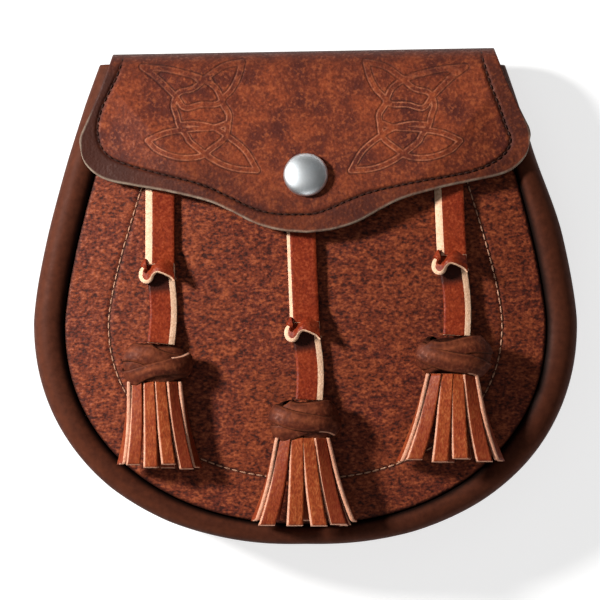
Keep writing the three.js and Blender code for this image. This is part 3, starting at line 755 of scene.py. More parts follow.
def make_back_panel():
    """The hollowed back, with a sewn line along its edge."""
    place_plain = disc_place(BACK_TOP_Y, back_at, -0.5)
    line = seam_line(BACK_TOP_Y - 2, BACK_STITCH_INSET, BACK_STITCH_INSET)

    def place(u, v):
        x, y, z, near = place_plain(u, v)
        groove_and_shade = np.exp(-(distance_to_line(x, y, line) / 0.8) ** 2)
        # darker along the sewn line, and along the edge as painted shade in the crease at the seam
        return x, y, z + 0.3 * groove_and_shade, np.maximum(groove_and_shade * 0.7, near * 0.6)

    bm = mapped_grid(300, 70, place, ("groove_and_shade",), weld=0.01)
    face_sheet(bm, direction=-1)
    piece = new_object(bm, "back_panel_leather", [finish["back"]])
    thicken(piece, PANEL_WALL)
    set_down(piece, "back_leather", "back_panel")
    stitch_row("back_panel_stitches", even_line(line, 1.0), lambda x, y: back_at(x, y) + 0.15,
               SEAM_STITCH, finish["thread_dark"], "back_leather")


LOOP_WALL = 2.2
LOOP_SEWN = 5.0
LOOP_RAMP = 5.0
LOOP_STITCH_INSET = 3.0


def loop_share(y):
    """How much of the way up to the back panel the loop is at each height."""
    low, high = LOOP_LOW[1], LOOP_HIGH[1]
    top = smooth_share(y, high - LOOP_SEWN - LOOP_RAMP, high - LOOP_SEWN)
    end = smooth_share(y, low + LOOP_SEWN + LOOP_RAMP, low + LOOP_SEWN)
    return np.maximum(top, end)


def loop_sewn_at(x, y):
    """Height of the loop's outer face where it is sewn on the back."""
    return back_at(x, y) - SEAM_GAP - LOOP_WALL


def make_belt_loop():
    """A band behind the back panel, sewn on at both ends, with room for a belt between."""
    low, high = LOOP_LOW, LOOP_HIGH
    seam_left, seam_low = low[:2] + LOOP_STITCH_INSET
    seam_right, seam_high = high[:2] - LOOP_STITCH_INSET

    def place(u, v):
        x = low[0] + (high[0] - low[0]) * u
        y = low[1] + (high[1] - low[1]) * v
        edge = np.minimum(np.minimum(x - low[0], high[0] - x), np.minimum(y - low[1], high[1] - y))
        line = np.minimum(np.abs(y - seam_low), np.abs(seam_high - y))
        groove_and_shade = np.exp(-(line / 0.7) ** 2)
        z = loop_sewn_at(x, y) * loop_share(y) + 0.5 * np.clip(1 - edge, 0, 1) ** 2
        return x, y, z + 0.25 * groove_and_shade, groove_and_shade * 0.7

    bm = mapped_grid(80, 110, place, ("groove_and_shade",))
    face_sheet(bm, direction=-1)
    piece = new_object(bm, "belt_loop_leather", [finish["back"]])
    thicken(piece, LOOP_WALL)
    set_down(piece, "back_leather", "belt_loop")
    for name, y in (("upper", seam_high), ("lower", seam_low)):
        stitch_row(f"belt_loop_stitches_{name}", np.array([[seam_left, y], [seam_right, y]]),
                   lambda x, y: loop_sewn_at(x, y) + 0.1, LOOP_STITCH, finish["thread_dark"],
                   "back_leather")


# Gusset: a wall with one roll along the front seam and one along the back seam

GUSSET_RISE = 3.0
SHOULDER_PULL = 2.2
FRONT_ROLL_END, BACK_ROLL_START = 0.42, 0.58


def make_gusset():
    """The rolled strip round the pouch: v runs from the front seam over both rolls to the back seam."""
    top_y = MOUTH_Y + GUSSET_RISE
    path = even_line(seam_line(top_y), 0.6)
    along = np.gradient(path, axis=0)
    along /= np.hypot(*along.T)[:, None]
    outward = np.column_stack([-along[:, 1], along[:, 0]])
    steps = np.linspace(0, 1, len(path))

    def place(u, v):
        x0, y0 = (np.interp(u, steps, path[:, k]) for k in range(2))
        nx, ny = (np.interp(u, steps, outward[:, k]) for k in range(2))
        radius = roll_radius(nx)
        middle = SEAM_GAP - radius * math.cos(SEAM_TURN)
        front_turn = np.clip(1 - v / FRONT_ROLL_END, 0, 1)
        back_turn = np.clip((v - BACK_ROLL_START) / (1 - BACK_ROLL_START), 0, 1)
        turn = SEAM_TURN * (front_turn - back_turn)
        front_z = front_crest_at(y0) - radius
        back_z = back_crest_at(y0) + radius
        down = np.clip((v - FRONT_ROLL_END) / (BACK_ROLL_START - FRONT_ROLL_END), 0, 1)
        centre = front_z + (back_z - front_z) * down
        out = middle + radius * np.cos(turn)
        z = centre + radius * np.sin(turn)
        slack = 0.35 * ripple(x0 + y0 * 0.3, z * 2.2, 26, 11) * smooth_share(out, 1.5, 6)
        out = out - np.abs(slack)
        # the right shoulder lies closer under the flap
        out = out - SHOULDER_PULL * smooth_share(y0, 18, 50) * (x0 > 0) * smooth_share(out, 0, 6)
        x = x0 + nx * out
        y = np.minimum(y0 + ny * out, top_y)
        # painted highlight: a lighter stripe along the front roll's shoulder, all round the pouch
        wear_and_highlight = np.exp(-((turn - math.radians(55)) / 0.4) ** 2) * (turn > 0)
        # painted shade: near black where the roll turns in towards either seam
        groove_and_shade = smooth_share(np.abs(turn), math.radians(108), math.radians(136))
        return x, y, z, wear_and_highlight * 0.35, groove_and_shade

    bm = mapped_grid(620, 64, place, ("wear_and_highlight", "groove_and_shade"))
    if sum(face.normal.xy.dot(face.calc_center_median().xy) for face in bm.faces) < 0:
        bmesh.ops.reverse_faces(bm, faces=bm.faces)
    piece = new_object(bm, "gusset_leather_roll", [finish["gusset"]])
    thicken(piece, GUSSET_WALL)
    set_down(piece, "gusset_leather", "gusset")


# Flap

# Places that the flap's stitch line runs through, from its left end round the tongue to its right end
FLAP_STITCH = [
    (-63.9, 83.4), (-65.6, 77.6), (-68.8, 70.8), (-71.4, 65.0), (-72.8, 58.7), (-71.9, 52.4),
    (-68.3, 48.0), (-61.1, 45.0), (-49.9, 41.9), (-36.6, 38.4), (-27.8, 34.5), (-19.1, 30.3),
    (-11.7, 28.2), (-1.8, 27.9), (5.6, 28.8), (21.2, 35.2), (38.7, 39.2), (56.2, 42.5),
    (64.8, 45.7), (70.0, 49.7), (71.8, 54.3), (70.0, 59.0), (67.7, 66.0), (64.8, 73.5),
    (62.5, 81.1), (61.6, 86.0),
]

# The right motif's bands of interlace about its middle: each a few places that its line runs through
MOTIF_PLACE = (34.5, 61.8)
MOTIF_MIRROR_SHIFT = 0.9
MOTIF = [
    [(-13.3, 19.8), (-7.0, 18.3), (-1.6, 14.7), (3.6, 10.4), (8.8, 8.8), (10.6, 4.6), (9.5, 0.7),
     (8.6, -2.6), (6.0, -6.5), (4.2, -9.1), (-3.9, -15.1), (-10.9, -17.9), (-18.6, -18.6)],
    [(-13.3, 19.8), (-12.0, 14.6), (-9.6, 10.0), (-6.3, 5.9), (-8.6, 1.4), (-8.5, -1.8),
     (-7.4, -7.0), (-2.8, -10.9), (1.4, -13.7), (8.8, -14.0), (15.8, -11.6), (19.6, -8.1)],
    [(21.7, 18.0), (16.0, 13.6), (10.2, 7.7), (6.7, 3.5), (1.2, 4.6), (-3.9, 4.7), (-6.3, 5.9)],
    [(21.7, 18.0), (12.0, 16.9), (1.4, 14.0), (-4.0, 10.6), (-6.3, 5.9)],
    [(19.6, -8.1), (13.0, -5.3), (4.2, -4.0), (-3.3, -3.5), (-8.5, -1.8)],
    [(-18.6, -18.6), (-14.4, -11.6), (-8.0, -6.3), (-3.3, -3.5), (3.0, -2.2), (7.7, -2.5)],
]
LAP_SHARE, FOLD_FRONT_SHARE, FOLD_SHARE = 0.10, 0.20, 0.30
LAP_STITCH_INSET = 4.0


def motif_lines():
    """The middle line of every band, of the right motif and of the mirrored left one."""
    lines = []
    for stroke in MOTIF:
        line = smooth_line(stroke, 8) + np.array(MOTIF_PLACE)
        lines.append(line)
        lines.append(line * np.array([-1, 1]) - np.array([MOTIF_MIRROR_SHIFT, 0]))
    return lines


def lap_at(x, y):
    """Height of the flap's outer face where it is sewn on the back."""
    return back_at(x, y) - SEAM_GAP - FLAP_WALL


def lap_place(side, v):
    """The flap's lap on the back, up to its fold."""
    x = side * LAP_HALF
    y = BEND_Y - LAP_LENGTH * (1 - np.clip(v / LAP_SHARE, 0, 1))
    return x, y, lap_at(x, y)


def fold_place(side, v):
    """The flap's fold over the mouth, which takes on the flap's turn on its way to the front."""
    angle = math.pi * (np.clip((v - LAP_SHARE) / (FOLD_SHARE - LAP_SHARE), 0, 1) - 0.5)
    follow = np.minimum(np.sin(angle) + 1, 1)
    reach = np.cos(angle).clip(0, 1) ** (2 / FOLD_POWER)
    rise = np.sign(np.sin(angle)) * np.abs(np.sin(angle)) ** (2 / FOLD_POWER)
    y = BEND_Y + FOLD_DEPTH * reach
    x = side * (LAP_HALF + (flap_half_at(y) - LAP_HALF) * follow)
    level = np.full_like(side, BEND_Y)
    low = lap_at(side * LAP_HALF, level)
    high = flap_over_at(side * flap_half_at(BEND_Y), level)
    turned_x, turned_y = turned(x, y)
    z = (low + high) / 2 + (high - low) / 2 * rise
    return x + (turned_x - x) * follow, y + (turned_y - y) * follow, z


def front_place(side, end_y, run):
    """The flap's front, from its fold down to its lower edge."""
    y = BEND_Y + (end_y - BEND_Y) * run
    x, y = turned(side * flap_half_at(y), y)
    return x, y, flap_over_at(x, y)


def border_mask(x, y, seam_gap, field):
    """The darker border outside the stitch line, darkest on the left, and the darker lower part."""
    tone = np.maximum(0.5 + 0.45 * smooth_share(x, -30, -66), 0.5 * smooth_share(y, 50, 36))
    outside = smooth_share(seam_gap, 0.0, 0.9) * ~inside_line(x, y, field) * tone
    low_left = 0.45 * smooth_share(y, 56, 38) * smooth_share(x, 0, -45)
    return np.maximum(outside, np.maximum(low_left, 0.3 * smooth_share(y, 46, 30)))


def band_masks(x, y, v):
    """The distance to the nearest band's middle, and how clearly the bands are still pressed in."""
    band = np.full_like(x, REACH)
    for line in motif_lines():
        band = np.minimum(band, distance_to_line(x, y, line))
    band = np.where(v < FOLD_FRONT_SHARE, REACH, band)
    clear = smooth_share(y, 83.0, 66.0) * np.where(x > 0, 1.0, 0.85)
    return band, 0.1 + 0.55 * clear


def make_flap():
    """One sheet: v runs from the lap on the back over the fold and down the front to the lower edge."""
    edge = flap_edge_line()
    steps = np.linspace(0, 1, len(edge))
    stitch = even_line(smooth_line(FLAP_STITCH, 6), 1.0)
    above = 100.0
    field = np.vstack([stitch, [(FLAP_STITCH[-1][0], above), (FLAP_STITCH[0][0], above)]])

    def place(u, v):
        side = np.interp(u, steps, edge[:, 0] / FLAP_HALF)
        end_y = FOLD_Y - np.interp(u, steps, edge[:, 1])
        run = np.clip((v - FOLD_SHARE) / (1 - FOLD_SHARE), 0, 1)
        stretches = zip(lap_place(side, v), fold_place(side, v), front_place(side, end_y, run))
        x, y, z = (np.where(v < LAP_SHARE, lap, np.where(v < FOLD_SHARE, fold, front))
                   for lap, fold, front in stretches)
        shown = smooth_share(v, FOLD_FRONT_SHARE, FOLD_SHARE)
        seam_gap = distance_to_line(x, y, stitch)
        seam = np.exp(-(seam_gap / 0.62) ** 2) * shown
        side_gap = (1 - np.abs(side)) * FLAP_HALF
        rim = np.where(v < FOLD_SHARE, side_gap, np.minimum((1 - run) * (BEND_Y - end_y), side_gap))
        z = z - 0.6 * seam - 0.45 * np.clip(1 - rim / 0.8, 0, 1) ** 2 * shown
        z = z + 0.16 * ripple(x, y, 34, 5) * shown
        wear_and_highlight = smooth_share(rim, 1.1, 0.3) * smooth_share(y, 66, 52) * 0.8
        border = np.maximum(border_mask(x, y, seam_gap, field) * shown, 1 - shown)
        return (x, y, z, seam * 0.9, wear_and_highlight, border, *band_masks(x, y, v))

    masks = ("groove_and_shade", "wear_and_highlight", "border", "tooled_distance", "tooled_depth")
    bm = mapped_grid(320, 150, place, masks)
    if sum(face.normal.z * face.calc_center_median().z for face in bm.faces) < 0:
        bmesh.ops.reverse_faces(bm, faces=bm.faces)
    piece = new_object(bm, "flap_leather_sheet", [finish["flap"], finish["flap_cut"], finish["back"]])
    thicken(piece, FLAP_WALL, rim_slot=1, back_slot=2)
    set_down(piece, "flap_leather", "flap")
    stitch_row("flap_stitches", stitch, lambda x, y: flap_top_at(x, y) - 0.28, EDGE_STITCH,
               finish["thread_dark"], "flap_leather")
    seam_y = BEND_Y - LAP_LENGTH + LAP_STITCH_INSET
    seam_half = LAP_HALF - LAP_STITCH_INSET
    stitch_row("flap_lap_stitches", np.array([[-seam_half, seam_y], [seam_half, seam_y]]), lap_at,
               SEAM_STITCH, finish["thread_dark"], "flap_leather")


# Snap

def snap_axis():
    """The snap's place on the flap, and the way the flap faces there."""
    low, high = node_box("snap_cap")
    x, y = (low[:2] + high[:2]) / 2
    step = 6.0
    left, right = (height_of(flap_over_at, x + a, y) for a in (-step, step))
    lower, upper = (height_of(flap_over_at, x, y + b) for b in (-step, step))
    axis = Vector((left - right, lower - upper, 2 * step)).normalized()
    return Vector((x, y, height_of(flap_over_at, x, y))), axis


def make_snap():
    """The cap, spun from a profile of radius and height about the snap's axis."""
    radius, low, height, edge = 7.75, 0.3, 4.2, 0.75
    stem_radius, stem_end = 2.4, -8.6
    profile = [(0, stem_end), (stem_radius, stem_end), (stem_radius, low), (radius - 0.7, low),
               (radius - 0.25, low + 0.12), (radius - 0.04, low + 0.4)]
    steps = 24
    for i in range(steps):
        angle = math.pi / 2 * i / steps
        profile.append((radius * math.cos(angle), low + edge + (height - edge) * math.sin(angle) ** 0.95))
    profile.append((0, low + height))
    bm = bmesh.new()
    verts = [bm.verts.new((out, 0, up)) for out, up in profile]
    edges = [bm.edges.new(pair) for pair in zip(verts, verts[1:])]
    bmesh.ops.spin(bm, geom=verts + edges, cent=(0, 0, 0), axis=(0, 0, 1), angle=2 * math.pi,
                   steps=72, use_merge=True, use_duplicate=False)
    bmesh.ops.remove_doubles(bm, verts=bm.verts, dist=0.001)
    bmesh.ops.recalc_face_normals(bm, faces=bm.faces)
    place, axis = snap_axis()
    turn = axis.to_track_quat("Z", "Y").to_matrix().to_4x4()
    matrix = Matrix.Scale(MM, 4) @ Matrix.Translation(place) @ turn
    bmesh.ops.transform(bm, matrix=matrix, verts=bm.verts)
    piece = new_object(bm, "snap_cap_dome", [finish["nickel"]])
    set_down(piece, "satin_nickel", "snap_cap")


# Straps

def strap_sheet(bm, stations, width, wall, slants, pale, shade_tones=None):
    """A strip of leather through stations, each a middle, a direction across and one up.

    Its long edges are cut at a slant, so that the pale cut shows from in front.
    """
    slant_left, slant_right = slants
    top = 8
    face_width = width - slant_left - slant_right
    bend = min(0.2, slant_right * 0.3)
    columns = [(-0.5 * width, 0.0), (-0.5 * width, wall * 0.7)]
    columns += [(-0.5 * width + slant_left + face_width * i / top, wall) for i in range(top + 1)]
    columns += [(0.5 * width - bend, wall * 0.93), (0.5 * width, wall * 0.88)]
    columns += [(0.5 * width - width * i / top, 0.0) for i in range(top)]
    around, rows = len(columns), len(stations)
    part = bmesh.new()
    layer = part.verts.layers.float.new("groove_and_shade")
    bmesh.ops.create_grid(part, x_segments=around, y_segments=rows - 1, size=0.5)
    for face in part.faces:
        column = int((face.calc_center_median().x + 0.5) * around)
        left, right = column in (0, 1), column in (top + 2, top + 3, top + 4)
        face.material_index = int((left and pale[0]) or (right and pale[1]))
    for vert in part.verts:
        column = int(round((vert.co.x + 0.5) * around)) % around
        row = int(round((vert.co.y + 0.5) * (rows - 1)))
        across, up = columns[column]
        middle, side, lift = stations[row]
        vert.co = (middle + side * across + lift * (up - wall / 2)) * MM
        # a darkening for each row, given by the caller: painted shade, and on tassel strips some random
        # tone too
        vert[layer] = shade_tones[row] if shade_tones is not None else 0.0
    bmesh.ops.remove_doubles(part, verts=part.verts, dist=SAME_PLACE * MM)
    rim = [edge for edge in part.edges if edge.is_boundary]
    caps = bmesh.ops.holes_fill(part, edges=rim, sides=0)["faces"]
    for face in caps:
        face.material_index = 1
    bmesh.ops.triangulate(part, faces=caps)
    join_meshes(bm, part)


def strap_stations(xs, ys, lifts):
    """Stations along a strap, from its places and its heights over the front panel."""
    points = np.column_stack([xs, ys, front_at(xs, ys) + lifts])
    stations = []
    for point, run in zip(points, np.gradient(points, axis=0)):
        run = Vector(run).normalized()
        side = Vector((1, 0, 0))
        side = (side - run * side.dot(run)).normalized()
        lift = side.cross(run).normalized()
        if lift.z < 0:
            lift = -lift
        stations.append((Vector(point), side, lift))
    return stations


# The strap's curled end from left to right, about the strap's middle and its lip
CURL = [(-4.5, 4.4), (-5.7, 3.3), (-6.0, 1.7), (-5.4, 0.6), (-4.4, 0.3), (-3.5, 1.0), (-2.6, 2.4),
        (-1.0, 3.4), (0.9, 3.0), (2.7, 2.2), (4.2, 1.3), (5.2, 0.1)]
CURL_START = 10.0
CURL_WALL = 1.5
CURL_COLUMNS, CURL_ROWS = 90, 44
CUT_SHARE = 0.86


def make_curl(middle_x, lip, low):
    """The upper strap's end: it widens, lifts off and ends in a wavy pale cut."""
    end = even_line(smooth_line(CURL, 6), 0.35)
    run_out = np.gradient(end, axis=0)
    run_out /= np.hypot(*run_out.T)[:, None]
    steps = np.linspace(0, 1, len(end))

    def place(u, v):
        end_x, end_y = (np.interp(u, steps, end[:, k]) for k in range(2))
        out_x, out_y = (np.interp(u, steps, side) for side in (run_out[:, 1], -run_out[:, 0]))
        run = np.clip(v / CUT_SHARE, 0, 1)
        ease = smooth_share(run, 0, 1)
        flat_x = (u - 0.5) * (STRAP_WIDTH - 2.4) + 1.1 * (1 - run)
        over = np.clip((v - CUT_SHARE) / (1 - CUT_SHARE), 0, 1)
        thick = 0.65 + 0.75 * smooth_share(u, 0.62, 0.3)
        x = middle_x + flat_x * (1 - ease) + end_x * ease + out_x * over * thick
        y = lip + CURL_START * (1 - run) + end_y * run + out_y * over * thick
        hook = smooth_share(u, 0.42, 0.18)
        arch = np.exp(-((u - 0.66) / 0.24) ** 2)
        rise = 3.6 * smooth_share(run, 0.0, 0.85) + ease * (1.7 * arch - 1.3 * hook)
        z = low + STRAP_WALL / 2 + rise - 0.8 * over ** 2
        return x, y, front_at(x, y) + z

    part = mapped_grid(CURL_COLUMNS, CURL_ROWS, place)
    face_sheet(part)
    return part


def make_strap(row):
    """A strap of two stretches, and over them the curl at the upper one's end."""
    lip, top_y, knot_y = (row[key] * HALF_HEIGHT for key in ("lip_y", "strap_top", "knot_y"))
    start_x, end_x = row["strap_x"] * PANEL_HALF, row["end_x"] * PANEL_HALF
    low = 0.45 + STRAP_WALL / 2
    finishes = [finish["strap"], finish["cut"]]

    def x_at(y):
        return start_x + (end_x - start_x) * (top_y - y) / (top_y - knot_y)

    bm = bmesh.new()
    bm.verts.layers.float.new("groove_and_shade")
    # upper stretch, down to where its end starts to curl
    y = np.linspace(top_y, lip + 5.5, 60)
    lift = smooth_share(y, lip + CURL_START + 3, lip + 4.0) * 2.6
    stations = strap_stations(x_at(y), y, low + lift)
    strap_sheet(bm, stations, STRAP_WIDTH, STRAP_WALL, (row["slant"], 0.2), (True, False))
    # lower stretch, from the hollow under the curl to the knot
    y = np.linspace(lip + 6.0, knot_y + 0.3, 70)
    lift = smooth_share(y, knot_y + 11, knot_y) * 2.4
    bow = 0.8 * np.sin(np.clip((lip - y) / (lip - knot_y), 0, 1) * math.pi)
    stations = strap_stations(x_at(y) + 0.4 + bow, y, low + lift)
    # painted shade: the lower stretch is darkened where it comes out of the hollow under the curl
    shade = smooth_share(y, lip - 5.5, lip - 2.5)
    strap_sheet(bm, stations, STRAP_WIDTH * 0.93, STRAP_WALL, (0.02, 2.1), (False, True), shade)
    piece = new_object(bm, f"strap_{row['side']}_leather", finishes)
    set_down(piece, "strap_leather", f"strap_{row['side']}")
    curl = new_object(make_curl(float(x_at(lip)), lip, low), f"strap_{row['side']}_curl", finishes)
    # the grid's last rows are the pale cut
    first = int(round(CURL_ROWS * CUT_SHARE))
    for index, polygon in enumerate(curl.data.polygons):
        polygon.material_index = int(index // CURL_COLUMNS >= first)
    thicken(curl, CURL_WALL)
    set_down(curl, "strap_leather")


# Knots

# Each wrap of a knot: its middle and width in shares of the knot's length, its tilt, its layer, and
# where its upper edge comes to a point, as degrees round the knot and a height
WRAPS = {
    "left": [(0.0, 0.86, 0.0, -0.2, 120, 0.0), (0.13, 0.56, -0.34, 0.9, 96, 1.4),
             (-0.17, 0.46, 0.36, 1.9, 60, 0.5)],
    "middle": [(0.0, 0.86, 0.0, -0.2, 120, 0.0), (0.20, 0.50, 0.22, 0.7, 118, 2.6),
               (-0.20, 0.44, 0.26, 1.2, 30, 0.5), (0.0, 0.46, -0.30, 2.1, 60, 0.0)],
    "right": [(0.0, 0.86, 0.0, -0.2, 120, 0.0), (0.15, 0.54, 0.30, 0.9, 128, 2.2),
              (-0.12, 0.48, -0.36, 1.9, 60, 0.6)],
}


def knot_seat(row):
    """Height of the knot's middle: half its depth and a little more over the highest place under it."""
    x = row["knot_x"] * PANEL_HALF
    top_y = row["knot_y"] * HALF_HEIGHT
    end_y = (row["knot_y"] - row["knot_length"]) * HALF_HEIGHT
    highest = max(height_of(front_at, x, top_y), height_of(front_at, x, end_y),
                  height_of(seat_at, x, end_y))
    return highest + KNOT_DEPTH / 2 + KNOT_CLEARANCE


def knot_side(angle):
    """Sideways share of the knot round its core: flat on the left and drawn to a point on the right."""
    turn = (angle + math.pi) % (2 * math.pi) - math.pi
    return max(math.cos(angle), -0.93) * (1 + 0.09 * math.exp(-(turn / 0.3) ** 2))


def knot_wrap(bm, middle, length, radii, wrap, phase):
    """A flat band of leather round the knot, tilted, with soft edges; an outer one shows a pale cut. Its
    edges carry painted shade and its upper side painted highlights.
    """
    centre, width, tilt, layer_height, peak_at, peak = wrap
    wall = 1.1
    half = width * length / 2
    profile = [(-1.0, -0.6), (-0.97, 0.45), (-0.86, 0.86)]
    profile += [(-0.7 + 1.4 * i / 6, 1.0 + 0.04 * math.sin(math.pi * i / 6)) for i in range(7)]
    profile += [(0.86, 0.86), (0.97, 0.45), (1.0, -0.6)]
    columns, around = len(profile) - 1, 120
    part = bmesh.new()
    edge_shade_layer = part.verts.layers.float.new("groove_and_shade")
    highlight_layer = part.verts.layers.float.new("wear_and_highlight")
    bmesh.ops.create_grid(part, x_segments=columns, y_segments=around, size=0.5)
    for face in part.faces:
        place = face.calc_center_median()
        column = int((place.x + 0.5) * columns)
        shown = layer_height > 1.2 and 0.02 < place.y + 0.5 < 0.17
        face.material_index = int(shown and column == (columns - 2 if tilt > 0 else 1))
    for vert in part.verts:
        across, up = profile[int(round((vert.co.x + 0.5) * columns))]
        angle = 2 * math.pi * (vert.co.y + 0.5)
        squeeze = 1 - 0.16 * math.cos(angle * 2 + phase)
        point = peak * math.exp(-abs(angle - math.radians(peak_at)) / 0.28) * max(across, 0)
        # painted shade: each wrap darkens to near black at its edges, where it tucks down against the
        # core and the other wraps
        vert[edge_shade_layer] = min(max((abs(across) - 0.74) / 0.2, 0.0), 1.0) * 0.85
        # painted highlights: a broad streak and a thin line near each edge, on the wrap's upper side only
        highlight_streak = math.exp(-((across - 0.25) / 0.3) ** 2) * max(math.sin(angle - 0.15), 0.0) ** 2
        rim = 0.45 if 0.8 < abs(across) < 0.9 else 0.0
        vert[highlight_layer] = max(highlight_streak * 0.5, rim * max(math.sin(angle), 0.0))
        sideways = knot_side(angle)
        along = (centre * length + across * half * squeeze
                 + tilt * radii[0] * math.cos(angle) * 0.8 + 0.45 * math.sin(3 * angle + phase))
        along = max(-0.53 * length, min(0.53 * length, along)) + point
        swell = 1 - 0.3 * min(abs(2 * along / length), 1.1) ** 2
        out = 0.6 * layer_height * (1 - 0.25 * abs(math.cos(angle)) ** 3) + wall * up
        out += 0.22 * math.sin(2 * angle + phase * 2 + across * 1.4) + 0.2 * point
        vert.co = (middle + Vector((radii[0] * swell * sideways, along,
                                    radii[1] * swell * math.sin(angle)))
                   + Vector((math.cos(angle), 0, math.sin(angle))) * out) * MM
    bmesh.ops.remove_doubles(part, verts=part.verts, dist=SAME_PLACE * MM)
    join_meshes(bm, part)


def make_knot(row):
    """A tassel's head: flat wraps of leather over a barrel-shaped core."""
    length = row["knot_length"] * HALF_HEIGHT
    middle = Vector((row["knot_x"] * PANEL_HALF, row["knot_y"] * HALF_HEIGHT - length / 2,
                     knot_seat(row)))
    radii = (row["knot_wide"] * STRAP_WIDTH / 2 - 2.0, KNOT_DEPTH / 2 - 2.2)
    bm = bmesh.new()
    edge_shade_layer = bm.verts.layers.float.new("groove_and_shade")
    bm.verts.layers.float.new("wear_and_highlight")
    bmesh.ops.create_uvsphere(bm, u_segments=40, v_segments=20, radius=1)
    for vert in bm.verts:
        # painted shade: the whole core, which shows between the wraps, is darkened
        vert[edge_shade_layer] = 0.8
        up = max(-1.0, min(1.0, vert.co.z))
        wider = math.sqrt(max(1 - abs(up) ** 3, 0)) / max(math.hypot(vert.co.x, vert.co.y), 1e-6)
        if abs(up) > 0.999:
            wider = 0
        vert.co = (middle + Vector((vert.co.x * wider * radii[0] * 0.96, up * length * 0.48,
                                    vert.co.y * wider * (radii[1] + 0.4)))) * MM
    bmesh.ops.recalc_face_normals(bm, faces=bm.faces)
    for index, wrap in enumerate(WRAPS[row["side"]]):
        knot_wrap(bm, middle, length, radii, wrap, row["phase"] + index * 1.3)
    piece = new_object(bm, f"knot_{row['side']}_wraps", [finish["knot"], finish["soft_cut"]])
    set_down(piece, "knot_leather", f"knot_{row['side']}")


# Tassels

# Each strip's place round the skirt in degrees, seen along the strap
STRIP_ANGLES = [262, 285, 225, 318, 181, -1, 133, 47, 102.5, 77.5]
STRIP_WALL = 1.6
SKIRT_STEPS = 26
SKIRT_TOP_DEPTH, SKIRT_END_DEPTH = 9.6, 12.2
SKIRT_CLEARANCE = 1.35


def skirt_ends(row):
    """The middles of the skirt's top and of its end."""
    start = Vector((row["knot_x"] * PANEL_HALF,
                    (row["knot_y"] - row["knot_length"]) * HALF_HEIGHT + 0.8, knot_seat(row)))
    x, y = row["skirt_x"] * PANEL_HALF, row["skirt_y"] * HALF_HEIGHT
    end = Vector((x, y, height_of(seat_at, x, y) + SKIRT_END_DEPTH / 2 + SKIRT_CLEARANCE))
    return start, end


def skirt_half(row, share):
    """Half the skirt's width and half its depth, at a share of its length."""
    half_x = (row["skirt_top"] * (1 - share) + row["skirt_end"] * share) * STRAP_WIDTH / 2
    half_z = (SKIRT_TOP_DEPTH * (1 - share) + SKIRT_END_DEPTH * share) / 2
    return half_x, half_z


def strip_stations(row, start, end, degrees, spread):
    """Stations down one strip, and the share of the skirt's length that it reaches."""
    angle = math.radians(degrees)
    wander = spread.uniform(-0.08, 0.08)
    reach = 1 + spread.uniform(-0.04, 0.03)
    twist = spread.uniform(-0.1, 0.1) - 0.35 * math.cos(angle)
    stations = []
    for i in range(SKIRT_STEPS + 1):
        share = i / SKIRT_STEPS * reach
        half_x, half_z = skirt_half(row, share)
        bow = 1 - 0.07 * math.sin(math.pi * share)
        a = angle + wander * share
        inset = 1.5 + 0.5 * abs(math.cos(angle)) * share
        centre = start + (end - start) * share
        centre.x += (half_x - inset) * bow * math.cos(a)
        centre.z += (half_z - inset) * bow * math.sin(a)
        out = Vector((math.cos(a) / half_x, 0, math.sin(a) / half_z)).normalized()
        side = Vector((out.z, 0, -out.x))
        if 160 < degrees < 200:
            side = -side
        turn = Matrix.Rotation(twist * share, 3, "Y")
        stations.append((centre, turn @ side, turn @ out))
    return stations, reach


def add_strip(bm, row, start, end, degrees, spread):
    """One strip of the skirt, narrower at its top and with a slanting end."""
    stations, reach = strip_stations(row, start, end, degrees, spread)
    sideways, outwards = math.cos(math.radians(degrees)), math.sin(math.radians(degrees))
    # a little random tone, and painted shade: darker on strips at either side, more so on the right, and
    # on strips facing down
    tone = spread.uniform(0.0, 0.15) + (0.55 if sideways > 0.3 else 0.3 if sideways < -0.3 else 0.0)
    tone = min(tone + (0.5 if outwards < -0.1 else 0.0), 1.0)
    width = 4.9 + 0.9 * (row["skirt_end"] - 2.95)
    strip = bmesh.new()
    strip.verts.layers.float.new("groove_and_shade")
    strap_sheet(strip, stations, width, STRIP_WALL, (0.62, 0.05), (True, False), [tone] * len(stations))
    for vert in strip.verts:
        share = (start.y - vert.co.y / MM) / (start.y - end.y)
        narrow = 0.80 + 0.20 * min(max(share, 0), 1)
        index = min(max(int(round(share / reach * SKIRT_STEPS)), 0), SKIRT_STEPS)
        centre = stations[index][0] * MM
        vert.co.x = centre.x + (vert.co.x - centre.x) * narrow
        if index == SKIRT_STEPS and vert.co.z > centre.z:
            vert.co.y += 0.45 * MM
    join_meshes(bm, strip)


def add_skirt_core(bm, row, start, end):
    """The core between the strips, down to half of the skirt's length, darkened all over as painted shade
    between the strips.
    """
    core = bmesh.new()
    layer = core.verts.layers.float.new("groove_and_shade")
    bmesh.ops.create_cone(core, cap_ends=True, segments=32, radius1=1, radius2=1, depth=1)
    for vert in core.verts:
        # painted shade between the strips
        vert[layer] = 1.0
        down = 0.5 + vert.co.z
        half_x, half_z = skirt_half(row, down / 2)
        across = Vector((vert.co.x * (half_x - 2.8 - 2.2 * down), 0,
                         vert.co.y * (half_z - 2.4 - 0.8 * down)))
        vert.co = (start + (end - start) * (down / 2) + across) * MM
    join_meshes(bm, core)


def make_tassel(row):
    """A tassel's skirt: separate strips round a core."""
    start, end = skirt_ends(row)
    spread = random.Random(row["seed"])
    bm = bmesh.new()
    bm.verts.layers.float.new("groove_and_shade")
    for degrees in STRIP_ANGLES:
        add_strip(bm, row, start, end, degrees, spread)
    add_skirt_core(bm, row, start, end)
    piece = new_object(bm, f"tassel_{row['side']}_strips", [finish["tassel"], finish["soft_cut"]])
    set_down(piece, "tassel_leather", f"tassel_{row['side']}")


# Floor, light and camera

FLOOR_HALF = 3.0
FLOOR_DROP = 0.0002


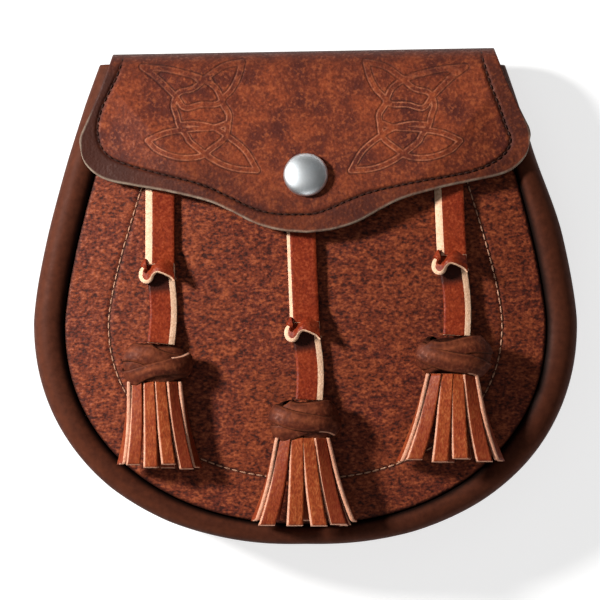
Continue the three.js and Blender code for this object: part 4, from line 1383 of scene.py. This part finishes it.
def make_stage():
    """A pale floor just under the pouch."""
    bm = bmesh.new()
    bmesh.ops.create_grid(bm, x_segments=1, y_segments=1, size=FLOOR_HALF)
    for vert in bm.verts:
        vert.co.z = -FLOOR_DROP
    material = bpy.data.materials.new("floor_paper")
    material.use_nodes = True
    shader = material.node_tree.nodes["Principled BSDF"]
    shader.inputs["Base Color"].default_value = (0.5, 0.5, 0.5, 1)
    shader.inputs["Roughness"].default_value = 0.9
    shader.inputs["Emission Color"].default_value = (1, 1, 1, 1)
    shader.inputs["Emission Strength"].default_value = 0.7
    new_object(bm, "floor", [material])


LIGHT_TARGET = Vector((0, 0, 0.03))


def add_area(name, place, size, power, colour=(1, 1, 1)):
    """A round soft light that points at the pouch."""
    data = bpy.data.lights.new(name, "AREA")
    data.shape = "DISK"
    data.size = size
    data.energy = power
    data.color = colour
    lamp = bpy.data.objects.new(name, data)
    bpy.context.scene.collection.objects.link(lamp)
    lamp.location = place
    lamp.rotation_euler = (LIGHT_TARGET - Vector(place)).to_track_quat("-Z", "Y").to_euler()


def make_lights():
    add_area("key", (-1.00, 0.42, 0.74), 0.22, 29.0, (1.0, 0.985, 0.96))
    add_area("fill", (0.2, -1.1, 0.7), 1.0, 3.2)
    add_area("top", (-0.2, 0.3, 1.6), 1.2, 1.2)
    world = bpy.data.worlds.new("studio")
    world.use_nodes = True
    sky = world.node_tree.nodes["Background"]
    sky.inputs["Color"].default_value = (1, 1, 1, 1)
    sky.inputs["Strength"].default_value = 0.08
    bpy.context.scene.world = world


PHOTO_PIXELS = 600
PHOTO_MM_PER_PIXEL = 0.35
PHOTO_MIDDLE_X = -1.9
PHOTO_MIDDLE_Y = -1.9
CAMERA_HEIGHT = 1.5
PHOTO_PLANE = 0.026


def make_camera():
    """A camera straight above, with the photo's scale at the height of PHOTO_PLANE."""
    data = bpy.data.cameras.new("camera")
    data.sensor_width = 36.0
    width = PHOTO_PIXELS * PHOTO_MM_PER_PIXEL * MM
    data.lens = data.sensor_width * (CAMERA_HEIGHT - PHOTO_PLANE) / width
    data.clip_start = 0.05
    data.clip_end = 20.0
    camera = bpy.data.objects.new("camera", data)
    camera.location = (PHOTO_MIDDLE_X * MM, PHOTO_MIDDLE_Y * MM, CAMERA_HEIGHT)
    bpy.context.scene.collection.objects.link(camera)
    bpy.context.scene.camera = camera


make_stage()
make_lights()
make_camera()
bpy.context.scene.view_settings.view_transform = "Standard"

make_front_panel()
make_back_panel()
make_belt_loop()
make_gusset()
make_flap()
make_snap()
for tassel_row in TASSELS:
    make_strap(tassel_row)
    make_knot(tassel_row)
    make_tassel(tassel_row)

socket = bpy.data.objects["snap_socket"]
socket.data.materials.clear()
socket.data.materials.append(finish["nickel"])
